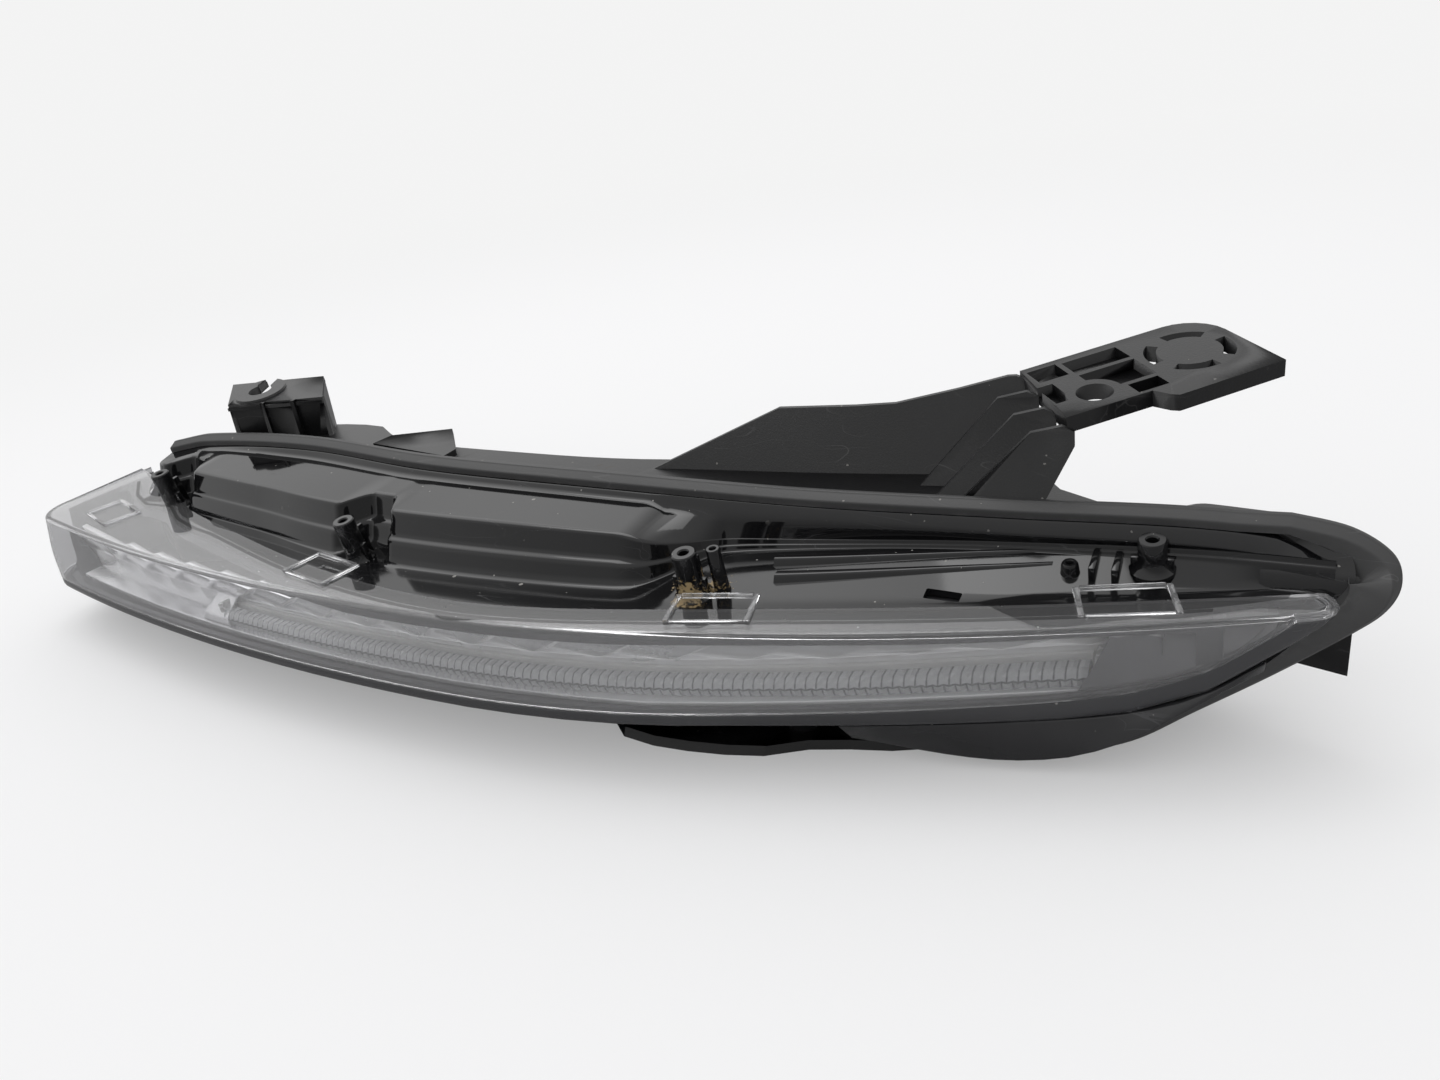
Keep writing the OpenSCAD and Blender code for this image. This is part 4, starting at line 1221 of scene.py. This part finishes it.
class Finishes:
    """Every finish of the lamp, made once."""

    def __init__(self) -> None:
        """Build the materials."""
        scuff = (0.20, 0.20, 0.19)
        self.carrier = MouldedPlastic("matte_carrier", (0.0045, 0.0045, 0.005), rough=0.34,
                                      rough_spread=0.015, specular=0.42, film=0.08, worn=0.0, patches=(
                                          Patch((141, 8, 92), 12, scuff, 520.0, 0.16),
                                          Patch((236, 8, 76), 22, scuff, 640.0, 0.20),
                                          Patch((20, 6, 88), 18, (0.10, 0.09, 0.08), 260.0, 0.16))).make()
        self.seal = MouldedPlastic("seal_lip", (0.030, 0.030, 0.0305), rough=0.48, grain=0.18,
                                   dust=0.4, worn=0.15).make()
        glue = (0.30, 0.22, 0.11)
        self.gloss = GlossPlastic("gloss_black", (0.0045, 0.0045, 0.005), patches=(
            Patch((90, -57, 60), 9, glue, 420.0, 0.34), Patch((96, -47, 60), 9, glue, 520.0, 0.30),
            Patch((83, -48, 60), 7, glue, 620.0, 0.24))).make()
        self.band = GlossPlastic("dark_band", (0.030, 0.030, 0.032), rough=0.16, dust=0.2).make()
        self.skirt = GlossPlastic("gloss_skirt", (0.016, 0.016, 0.017), rough=0.06, dust=0.3).make()
        self.clear = ClearPlastic("clear_lens", (0.935, 0.935, 0.945), rough=0.0, film=0.006,
                                  scratches=0.4, transmission=0.945).make()
        self.guide = ToothedClear("clear_guide", (0.90, 0.91, 0.92), rough=0.03, transmission=0.45,
                                  film=0.02, scratches=0.0).make()
        self.reflector = MouldedPlastic("satin_reflector", (0.88, 0.88, 0.89), rough=0.22, grain=0.05,
                                        dust=0.0, worn=0.0, scratches=0.0, coat=0.3,
                                        coat_rough=0.15, metallic=0.8).make()
        self.housing = MouldedPlastic("housing_grey", (0.035, 0.035, 0.038), rough=0.45, worn=0.0).make()
        # Painted shade: a dark finish for the right hood, which is the same reflector panel as the left one,
        # standing in for the shade at that end
        self.shaded_hood = MouldedPlastic("painted_shade_hood", (0.11, 0.11, 0.115), rough=0.28, grain=0.05, dust=0.0,
                                     worn=0.0, scratches=0.0).make()
        self.bead = MouldedPlastic("sealant", (0.02, 0.02, 0.02), rough=0.6, grain=0.4, grain_scale=500.0,
                                   worn=0.0).make()
        self.channel = MouldedPlastic("white_channel", (0.78, 0.78, 0.76), rough=0.4, dust=0.0,
                                      worn=0.0, scratches=0.0).make()
        self.board = BoardFinish("green_board", (0.01, 0.09, 0.03)).make()
        self.light_board = BoardFinish("white_board", (0.60, 0.60, 0.58)).make()
        self.chip = MouldedPlastic("chip_phosphor", (0.85, 0.62, 0.08), rough=0.5, dust=0.0,
                                   worn=0.0).make()
        self.sink = BareMetal("sink_metal", (0.72, 0.73, 0.75), rough=0.35).make()
        self.contact = BareMetal("contact_metal", (0.80, 0.60, 0.25), rough=0.2).make()
        self.steel = BareMetal("screw_steel", (0.55, 0.55, 0.57), rough=0.25).make()
        self.case = MouldedPlastic("driver_black", (0.022, 0.022, 0.024), rough=0.5, worn=0.0).make()
        self.jacket = MouldedPlastic("wire_jacket", (0.015, 0.015, 0.016), rough=0.38, grain=0.05,
                                     worn=0.0).make()


FINISHES = Finishes()


# Sub-assemblies


@dataclass
class SubAssembly:
    """A group of pieces that are built and dressed together."""

    def keep(self, obj: bpy.types.Object, material: bpy.types.Material, slot: Slot,
             *nodes: str) -> None:
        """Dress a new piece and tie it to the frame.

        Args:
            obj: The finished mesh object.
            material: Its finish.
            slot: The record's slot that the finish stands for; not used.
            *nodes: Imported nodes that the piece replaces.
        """
        obj.data.materials.clear()
        obj.data.materials.append(material)
        for polygon in obj.data.polygons:
            polygon.material_index = 0
        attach(obj, BODY)
        if nodes:
            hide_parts(*nodes)
        LOG.info("%s: %d faces", obj.name, len(obj.data.polygons))

    def dress(self, node: str, material: bpy.types.Material) -> None:
        """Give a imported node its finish.

        Args:
            node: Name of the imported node.
            material: Its finish.
        """
        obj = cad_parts[node]
        for place in obj.material_slots:
            place.material = material
        if not obj.material_slots:
            obj.data.materials.append(material)
        LOG.info("%s: packed shape", node)

    def rounded(self, node: str, name: str, width: float, segments: int = 2,
                angle: float = 35.0) -> bpy.types.Object:
        """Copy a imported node, merge its mesh and round its edges.

        Args:
            node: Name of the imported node.
            name: Name of the new piece.
            width: Width of the rounding in millimetres.
            segments: Faces across the rounding.
            angle: Smallest angle that counts as an edge, in degrees.

        Returns:
            The copy, with faces outwards.
        """
        obj = copy_mesh(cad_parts[node], name)
        open_mesh(obj)
        bpy.ops.mesh.select_all(action="SELECT")
        bpy.ops.mesh.remove_doubles(threshold=2e-6)
        bpy.ops.mesh.dissolve_degenerate(threshold=1e-6)
        bpy.ops.mesh.tris_convert_to_quads(face_threshold=math.radians(12), shape_threshold=math.radians(60))
        close_mesh()
        round_edges(obj, width, segments, angle)
        shade(obj, 34.0)
        return obj


@dataclass
class CarrierMoulding(SubAssembly):
    """Matte carrier with its gussets, arm plate and bracket."""

    rounding: float = 0.45
    shelf: tuple = ((224, 0), (232, 5), (246, 15), (253, 14), (276, 10), (284, 3))
    shelf_z: tuple[float, float] = (67.0, 73.5)

    def rear_shelf(self) -> bpy.types.Object:
        """Model the low shelf behind the right end of the rim.

        Returns:
            The shelf.
        """
        outline = rounded_outline(self.shelf, (3.0, 4.0, 3.0, 4.0), 4)
        rings = [[to_frame(x, y, z) for x, y in outline] for z in self.shelf_z]
        body = sweep("shelf", rings)
        round_edges(body, 0.6, 2)
        return body

    def build(self) -> None:
        """Model and dress the carrier."""
        body = weld("carrier_moulding", [self.rounded("carrier", "carrier_moulding", self.rounding),
                                         self.rear_shelf()])
        shade(body, 34.0)
        self.keep(body, FINISHES.carrier, Slot.CARRIER, "carrier")


@dataclass
class SealRibbon(SubAssembly):
    """Rubber lip along the rear edge: an outer band, an inner slope and a hooked end."""

    steps: int = 220
    band: float = 2.1
    slope_drop: float = 2.3
    end_width: float = 14.0

    def section(self, width: float) -> list[tuple[float, float]]:
        """Outline of the lip as pairs of set-back and depth below its outer edge.

        Args:
            width: How far down the lip reaches, in millimetres.

        Returns:
            The outline, open at its lower end.
        """
        t = CURVES.seal_t
        corners = [(0, width), (0, 0), (-self.band, 0), (-self.band - 0.5, 0.45), (-t, self.slope_drop),
                   (-t, width)]
        return rounded_outline(corners, (0.7, 0.35, 0.35, 0.6), 4)

    def build(self) -> None:
        """Model and dress the lip."""
        line = CURVES.seal_line(self.steps)
        rings = []
        for i, (x, y, z, grown) in enumerate(line):
            a, b = line[max(i - 1, 0)], line[min(i + 1, len(line) - 1)]
            dx, dz = b[0] - a[0], b[2] - a[2]
            size = math.hypot(dx, dz)
            dx, dz = dx / size, dz / size
            width = CURVES.seal_h + (self.end_width - CURVES.seal_h) * grown - 0.1
            rings.append([to_frame(x + dz * d, y + back, z - dx * d) for back, d in self.section(width)])
        body = sweep("seal_ribbon", rings)
        shade(body, 50.0)
        self.keep(body, FINISHES.seal, Slot.SEAL, "edge_seal")


@dataclass
class GlossDeck(SubAssembly):
    """Piano-black deck with its bosses, pins and ribs, and the skirt."""

    steps: int = 330
    ends: tuple[float, float] = (0.088, 0.9715)
    thickness: float = 2.3
    boss_r: float = 4.5
    bore_r: float = 1.8
    rib_t: float = 2.1
    boss_h: float = 19.0
    slot: tuple[float, float, float] = (0.787, 12.0, 5.0)
    sunk: float = 1.2
    boss_back: float = 13.0
    right_bosses: tuple = ((0.648, 43.0, 18.0), (0.888, 13.0, 11.0))
    right_foot: float = 2.6
    pins: tuple = ((0.663, 39.0, 19.0), (0.848, 17.0, 5.0))
    spears: tuple = ((0.683, 0.836, (20, 8)), (0.69, 0.838, (30, 14)))
    fork: tuple[float, float] = (0.858, 20.0)
    wall_low: float = 34.0

    def sheet(self) -> bpy.types.Object:
        """Model the stepped sheet with rounded ledges.

        Returns:
            The sheet with its slot cut.
        """
        rings = []
        for i in range(self.steps + 1):
            u = self.ends[0] + (self.ends[1] - self.ends[0]) * i / self.steps
            top = rounded_outline(CURVES.deck_outline(u), (3.0, 3.2, 1.5, 1.4, 2.4, 1.8, 5.0, 1.0), 4)
            last = len(top) - 1
            low = [(y + 1.1 * math.sin(math.pi * k / last), z - self.thickness)
                   for k, (y, z) in enumerate(top)]
            rings.append([to_frame(CURVES.at(u), y, z) for y, z in top + low[::-1]])
        sheet = sweep("deck_sheet", rings)
        u, wide, deep = self.slot
        y = CURVES.foot_end(u) - 1
        tool = bar("slot_tool", (-wide / 2, 0, -4), (wide / 2, deep, 12), (CURVES.at(u), y, CURVES.foot_z()),
                   0.0, 0.0, 0.6)
        cut = sheet.modifiers.new("slot", "BOOLEAN")
        cut.operation, cut.solver, cut.object = "DIFFERENCE", "EXACT", tool
        take(sheet)
        bpy.ops.object.modifier_apply(modifier=cut.name)
        bpy.data.objects.remove(tool, do_unlink=True)
        return sheet

    def boss(self, u: float, y: float, h: float, foot: float = 2.0) -> list[bpy.types.Object]:
        """Model a bored screw boss with three ribs.

        Args:
            u: Share of the lamp's length.
            y: Set-back in millimetres.
            h: Height above the deck.
            foot: How far its foot flares.

        Returns:
            The pieces to weld to the sheet.
        """
        place = (CURVES.at(u), y, CURVES.deck_z(u, y) - self.sunk)
        r, bore, rib = self.boss_r, self.bore_r, self.rib_t
        top = h + self.sunk
        parts = [lathe("boss", [(r + foot, 0), (r + foot, 1.4), (r + 0.5 * foot, 2.4), (r + 0.15, 4.2),
                                (r, 6), (r - 0.1, top - 0.5), (r - 0.5, top), (bore + 0.4, top),
                                (bore, top - 0.5), (bore, 3)], place)]
        parts.append(bar("boss_rib", (-rib / 2, r - 1, 0), (rib / 2, r + 3, 0.75 * h), place))
        for side in (-1, 1):
            inner, outer = side * (r - 1), side * (r + 2)
            parts.append(bar("boss_rib", (min(inner, outer), -rib / 2, 0),
                             (max(inner, outer), rib / 2, 0.5 * h), place))
        return parts

    def pin(self, u: float, y: float, h: float) -> bpy.types.Object:
        """Model a tapered hollow pin.

        Args:
            u: Share of the lamp's length, 0 at its left end and 1 at its right.
            y: Set-back in millimetres.
            h: Height in millimetres.

        Returns:
            The pin.
        """
        place = (CURVES.at(u), y, CURVES.deck_z(u, y) - self.sunk)
        return lathe("pin", [(3.4, 0), (3.0, 1.6), (2.75, 4), (2.5, h - 0.4), (2.2, h), (1.4, h),
                             (1.1, h - 0.4), (1.1, h - 7)], place, sides=28)

    def spear(self, start: float, end: float, back: tuple[float, float]) -> bpy.types.Object:
        """Model one long tapered rib between two shares of the length.

        Args:
            start: Share of the length where it begins.
            end: Share of the length where it ends.
            back: How far it lies in front of the rim at its two ends, in millimetres.

        Returns:
            The rib.
        """
        rings = []
        for i in range(49):
            f = i / 48
            u, w = start + (end - start) * f, 3.4 - 2.0 * f
            y = CURVES.rim_y(u) - back[0] - (back[1] - back[0]) * f
            z = CURVES.deck_z(u, y)
            outline = rounded_outline([(y - w, z - 1), (y - w / 2, z + w - 1), (y + w / 2, z + w - 1),
                                       (y + w, z - 1)], (0.8, 0.8), 4)
            rings.append([to_frame(CURVES.at(u), a, b) for a, b in outline])
        return sweep("spear", rings)

    def end_wall(self) -> bpy.types.Object:
        """Model the glossy wall that fills the inside of the hook at the right end.

        Returns:
            The wall.
        """
        half = CURVES.length / 2
        hook = [p for p in CURVES.seal_line(4)[5:] if p[2] > self.wall_low]
        rings = []
        for x, y, z, grown in hook:
            inset = 4.0 + 8.0 * grown
            near = max(half - 50.0, CURVES.at(0.945) - 4)
            rings.append([to_frame(near, y - 1.5, min(z, 64.0) - 1), to_frame(x - inset, y - 1.5, z - 1),
                          to_frame(x - inset, y - 3.5, z - 1), to_frame(near, y - 3.5, min(z, 64.0) - 1)])
        return sweep("end_wall", rings)

    def build(self) -> None:
        """Model and dress the deck and the skirt."""
        rim = CURVES.rim_y
        parts = [self.sheet()]
        for u in CURVES.notch_places:
            parts += self.boss(u, CURVES.step_y(u) - self.boss_back, self.boss_h)
        for u, back, h in self.right_bosses:
            parts += self.boss(u, rim(u) - back, h, self.right_foot)
        for u, back, h in self.pins:
            parts.append(self.pin(u, rim(u) - back, h))
        for start, end, back in self.spears:
            parts.append(self.spear(start, end, back))
        u, back = self.fork
        y = rim(u) - back
        for x in (0, 7):
            parts.append(bar("fork", (x, 0, 0), (x + self.rib_t, 11, 6),
                             (CURVES.at(u), y, CURVES.deck_z(u, y) - 1)))
        parts.append(self.end_wall())
        deck = weld("gloss_deck", parts)
        shade(deck, 38.0)
        self.keep(deck, FINISHES.gloss, Slot.GLOSS, "deck_bezel")
        skirt = self.rounded("lower_skirt", "gloss_skirt", 0.8, 2)
        self.keep(skirt, FINISHES.skirt, Slot.GLOSS, "lower_skirt")


@dataclass
class LensShell(SubAssembly):
    """Clear lens as one shell of face and flange, with its snap tabs, band and bead of sealant."""

    steps: int = 300
    edge_r: float = 1.6
    tab_len: float = 30.0
    tab_reach: float = 9.0
    tab_places: tuple = ((0.09, -22.0), (0.376, 0.0), (0.67, 0.0), (0.88, 0.0))

    def rear_edge(self, x: float) -> tuple[float, float]:
        """Point of the flange's rear edge beside a place of the outline, with the notch for a boss.

        Args:
            x: Place along the lamp in millimetres.

        Returns:
            The point (x, y) in millimetres.
        """
        u = min(0.965, max(0.012, CURVES.share(x)))
        y = CURVES.flange_y(u)
        hole_u = CURVES.notch_places[0]
        off = abs(CURVES.at(u) - CURVES.at(hole_u))
        middle, r = CURVES.step_y(hole_u) - 10.0, 6.5
        if off < r + 3:
            y = min(y, middle - (math.sqrt(r * r - off * off) if off < r else 0.0))
        return CURVES.at(u), y

    def ring(self, place: tuple[float, float], inward: tuple[float, float]) -> list[Point]:
        """Closed outline of the shell at one place of its plan.

        Args:
            place: Point (x, y) of the lens outline in millimetres.
            inward: Direction into the lamp, of length 1.

        Returns:
            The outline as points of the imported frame.
        """
        u = min(1.0, max(0.0, CURVES.share(place[0])))
        low, bulge, t = CURVES.low_z(u), CURVES.bulge(u), CURVES.lens_t
        top = CURVES.crease_z
        mid = low + 0.45 * (top - low)
        outer = rounded_outline([(bulge - 0.5 * t, low - 0.1), (bulge, low + 0.2), (0.7 * bulge + 0.6, mid),
                                 (0.0, top), (-4.0, top)], (1.0, 12.0, self.edge_r), 5)[:-1]
        inner = rounded_outline([(-4.0, top - t), (-t, top - t), (0.7 * bulge + 0.6 - t, mid),
                                 (bulge - t, low + 0.2), (bulge - 0.5 * t, low - 0.1)],
                                (0.8, 12.0, 0.7), 5)[1:-1]
        x, y = self.rear_edge(place[0])
        points = [to_frame(place[0] - inward[0] * d, place[1] - inward[1] * d, z) for d, z in outer]
        points += [to_frame(x, y, top), to_frame(x, y, top - t)]
        points += [to_frame(place[0] - inward[0] * d, place[1] - inward[1] * d, z) for d, z in inner]
        return points

    def shell(self) -> bpy.types.Object:
        """Model the face and the flange in one skin.

        Returns:
            The skin.
        """
        path = CURVES.lens_path(self.steps)
        rings = []
        for i, place in enumerate(path):
            a, b = path[max(i - 1, 0)], path[min(i + 1, len(path) - 1)]
            dx, dy = b[0] - a[0], b[1] - a[1]
            size = math.hypot(dx, dy)
            rings.append(self.ring(place, (dy / size, -dx / size)))
        return sweep("lens_sheet", rings)

    def tab(self, u: float, off: float) -> list[bpy.types.Object]:
        """Model the raised frame of one snap tab.

        Args:
            u: Share of the lamp's length, 0 at its left end and 1 at its right.
            off: Set-back of the tab from the flange's rear edge, in millimetres.

        Returns:
            The bars of the frame.
        """
        y = CURVES.flange_y(u) + off
        rise = (CURVES.flange_y(u + 0.01) - CURVES.flange_y(u - 0.01)) / (0.02 * CURVES.length)
        turn = math.degrees(math.atan(rise))
        place = (CURVES.at(u), y, CURVES.crease_z)
        half, reach = self.tab_len / 2, self.tab_reach
        boxes = [((-half, -reach, 0.02), (-half + 2, reach, 1.1)),
                 ((half - 2, -reach, 0.02), (half, reach, 1.1)),
                 ((-half + 2.1, reach - 2, 0.02), (half - 2.1, reach, 1.5)),
                 ((-half + 2.1, -reach, 0.02), (half - 2.1, -reach + 1.4, 0.7))]
        return [bar("tab_frame", low, high, place, 0.0, turn, 0.35) for low, high in boxes]

    def build(self) -> None:
        """Model and dress the lens, its band and its bead."""
        parts = [self.shell()]
        for u, off in self.tab_places:
            parts += self.tab(u, off)
        lens = weld("clear_lens_shell", parts)
        shade(lens, 36.0)
        self.keep(lens, FINISHES.clear, Slot.CLEAR, "outer_lens")
        band = self.rounded("lens_band", "dark_lens_band", 0.8, 2)
        self.keep(band, FINISHES.band, Slot.BAND, "lens_band")
        self.dress("sealing_bead", FINISHES.bead)


@dataclass
class LightUnit(SubAssembly):
    """Stepped reflector with its end hoods, guide, boards and housing behind the lens."""

    guide_table: tuple = ((0.2, 9), (0.6, 9), (0.72, 13), (0.86, 18), (0.93, 14))
    hood_t: float = 0.8
    left_hood: tuple[float, float, float, float] = (0.246, 0.281, 28.0, 41.5)
    right_hood: tuple[float, float, float, float] = (0.855, 0.948, 27.0, 52.0)

    def hood(self, start: float, end: float, low: float, high: float) -> bpy.types.Object:
        """Model a smooth panel of the reflector that covers one end of the guide.

        Args:
            start: Share of the length where it begins.
            end: Share of the length where it ends.
            low: Height of its lower edge in millimetres.
            high: Height of its upper edge.

        Returns:
            The panel.
        """
        rings = []
        for i in range(41):
            u = start + (end - start) * i / 40
            front = max(CURVES.crease_y(u) + 3.6 - min(0.0, CURVES.bulge(u)),
                        CURVES.crease_y(u) + CURVES.curve(self.guide_table, u) - 4.7)
            back = front + 9.0
            bottom = max(low, CURVES.low_z(u) + 1.5)
            top = max(high, bottom + 2)
            outline = rounded_outline([(front + 1.5, bottom), (front, bottom + 1.5), (front + 1, top - 6),
                                       (back, top)], (1.5, 7.0), 4)
            inner = [(y + self.hood_t, z - 0.2) for y, z in outline[::-1]]
            slant = 0.5 * max(0.0, 1 - i / 12)
            rings.append([to_frame(CURVES.at(u) + slant * (z - low), y, z) for y, z in outline + inner])
        return sweep("hood", rings)

    def build(self) -> None:
        """Model and dress what shines and what holds it."""
        body = self.rounded("stepped_reflector", "stepped_reflector_trim", 0.5, 2)
        trim = weld("stepped_reflector_trim", [body, self.hood(*self.left_hood)])
        shade(trim, 30.0)
        # The right hood is the same reflector panel as the left one; its dark finish is painted shade at that
        # end of the guide
        shaded_hood = self.hood(*self.right_hood)
        shaded_hood.name = shaded_hood.data.name = "guide_end_hood_painted_shade"
        shade(shaded_hood, 40.0)
        self.keep(shaded_hood, FINISHES.shaded_hood, Slot.HOUSING)
        self.keep(trim, FINISHES.reflector, Slot.REFLECTOR, "stepped_reflector")
        for node, material in (("light_guide", FINISHES.guide), ("guide_channel", FINISHES.channel),
                               ("led_boards", FINISHES.light_board), ("led_chips", FINISHES.chip),
                               ("lamp_housing", FINISHES.housing)):
            self.dress(node, material)


@dataclass
class RearElectronics(SubAssembly):
    """Driver, heat sink, vent, inlet and wiring behind the housing."""

    def build(self) -> None:
        """Dress the pieces on the back."""
        for node, material in (("heat_sink", FINISHES.sink), ("driver_case", FINISHES.case),
                               ("driver_cover", FINISHES.case), ("driver_board", FINISHES.board),
                               ("connector_socket", FINISHES.case), ("connector_pins", FINISHES.contact),
                               ("wiring", FINISHES.jacket), ("vent_cap", FINISHES.case),
                               ("housing_screws", FINISHES.steel)):
            self.dress(node, material)


@dataclass
class Studio:
    """Pale floor, soft lights and the camera."""

    camera_place: Point = (0.275746, -0.333528, 0.236843)
    camera_x: Point = (0.881776, 0.449359, -0.14334)
    camera_y: Point = (-0.078409, 0.439323, 0.894901)
    camera_z: Point = (0.465105, -0.777863, 0.422618)
    lens: float = 27.5
    floor_tone: float = 0.87
    floor_lift: float = 0.30
    seen_tone: float = 0.90
    key_way: Point = (-0.47, 0.30, 0.83)
    sky_low: float = 0.40
    sky_mid: float = 0.85
    sky_key: float = 1.3
    # Share of painted shade: how dark the floor shows in glossy reflections
    floor_in_gloss: float = 0.6

    def camera(self) -> None:
        """Place the camera."""
        data = bpy.data.cameras.new("photo_camera")
        data.lens = self.lens
        data.sensor_width = 36.0
        data.clip_start = 0.01
        data.clip_end = 50.0
        cam = bpy.data.objects.new("photo_camera", data)
        turn = Matrix((self.camera_x, self.camera_y, self.camera_z)).transposed().to_4x4()
        cam.matrix_world = Matrix.Translation(Vector(self.camera_place)) @ turn
        bpy.context.scene.collection.objects.link(cam)
        bpy.context.scene.camera = cam

    def floor(self) -> None:
        """Model a wide floor that fades into the surroundings and shows dark in glossy reflections, as
        painted shade.
        """
        clear_selection()
        bpy.ops.mesh.primitive_plane_add(size=40.0, location=(0.0, 0.0, 0.0))
        floor = bpy.context.active_object
        floor.name = "studio_floor"
        settle(floor)
        material = bpy.data.materials.new("pale_floor")
        material.use_nodes = True
        material.node_tree.nodes.clear()
        b = Bench(material.node_tree)
        tone = (self.floor_tone, self.floor_tone, self.floor_tone * 1.01, 1.0)
        matte = b.add("ShaderNodeBsdfDiffuse", Color=tone)
        glow = b.add("ShaderNodeEmission", Color=(self.seen_tone, self.seen_tone, self.seen_tone, 1.0))
        ray = b.add("ShaderNodeLightPath")
        place = b.add("ShaderNodeTexCoord").outputs["Object"]
        away = b.add("ShaderNodeVectorMath", operation="LENGTH", i0=place).outputs["Value"]
        share = b.ramp(away, 0.45, 1.6, self.floor_lift, 1.0)
        lift = b.math("MULTIPLY", ray.outputs["Is Camera Ray"], share)
        mixed = b.add("ShaderNodeMixShader", i0=lift, i1=matte.outputs[0], i2=glow.outputs[0])
        # Painted shade: glossy rays see the floor dark, standing in for the shade that the gloss would
        # reflect
        dark = b.add("ShaderNodeBsdfDiffuse", Color=(0.02, 0.02, 0.02, 1.0))
        in_gloss = b.math("MULTIPLY", ray.outputs["Is Glossy Ray"], self.floor_in_gloss)
        toned = b.add("ShaderNodeMixShader", i0=in_gloss, i1=mixed.outputs[0], i2=dark.outputs[0])
        out = b.add("ShaderNodeOutputMaterial")
        b.tree.links.new(toned.outputs[0], out.inputs[0])
        floor.data.materials.append(material)

    def light(self, name: str, place: Point, aim: Point, size: tuple[float, float], power: float) -> None:
        """Add a soft area light.

        Args:
            name: Name of the light.
            place: Where it hangs, in metres.
            aim: Point that it faces.
            size: Width and height in metres.
            power: Power in watts.
        """
        data = bpy.data.lights.new(name, "AREA")
        data.shape = "RECTANGLE"
        data.size, data.size_y = size
        data.energy = power
        lamp = bpy.data.objects.new(name, data)
        lamp.location = place
        lamp.rotation_mode = "QUATERNION"
        lamp.rotation_quaternion = (Vector(aim) - Vector(place)).to_track_quat("-Z", "Y")
        bpy.context.scene.collection.objects.link(lamp)

    def world(self) -> None:
        """Light the surroundings: even for matte surfaces, with a bright sky at the left for gloss."""
        world = bpy.data.worlds.new("studio_world")
        world.use_nodes = True
        tree = world.node_tree
        tree.nodes.clear()
        b = Bench(tree)
        way = b.add("ShaderNodeTexCoord").outputs["Generated"]
        side = b.add("ShaderNodeSeparateXYZ", Vector=way).outputs["X"]
        even = b.add("ShaderNodeMapRange", Value=side, From_Min=-0.8, From_Max=0.9, To_Min=1.05,
                     To_Max=0.80).outputs["Result"]
        key = b.add("ShaderNodeVectorMath", operation="DOT_PRODUCT", i0=way, i1=self.key_way)
        sky = b.math("ADD", b.ramp(key.outputs["Value"], -0.3, 0.6, self.sky_low, self.sky_mid),
                     b.ramp(key.outputs["Value"], 0.80, 0.99, 0.0, self.sky_key))
        ray = b.add("ShaderNodeLightPath")
        gloss = b.math("MULTIPLY", ray.outputs["Is Glossy Ray"], b.math("SUBTRACT", sky, even))
        around = b.add("ShaderNodeBackground", Color=(1.0, 1.0, 1.0, 1.0),
                       Strength=b.math("ADD", even, gloss))
        tone = self.seen_tone
        seen = b.add("ShaderNodeBackground", Color=(tone, tone, tone, 1.0), Strength=1.0)
        either = b.add("ShaderNodeMixShader", i0=ray.outputs["Is Camera Ray"], i1=around.outputs[0],
                       i2=seen.outputs[0])
        out = b.add("ShaderNodeOutputWorld")
        tree.links.new(either.outputs[0], out.inputs[0])
        bpy.context.scene.world = world

    def build(self) -> None:
        """Set up floor, lights, world and camera."""
        self.camera()
        self.floor()
        self.world()
        self.light("overhead", (-0.3, 0.35, 1.6), (0.0, 0.0, 0.0), (1.2, 0.8), 5.0)
        bpy.context.scene.view_settings.view_transform = "Standard"


def main() -> None:
    """Build the studio and every sub-assembly in order."""
    Studio().build()
    for group in (CarrierMoulding(), SealRibbon(), GlossDeck(), LensShell(), LightUnit(),
                  RearElectronics()):
        group.build()
        LOG.info("%s is done", type(group).__name__)


if __name__ == "__main__":
    main()
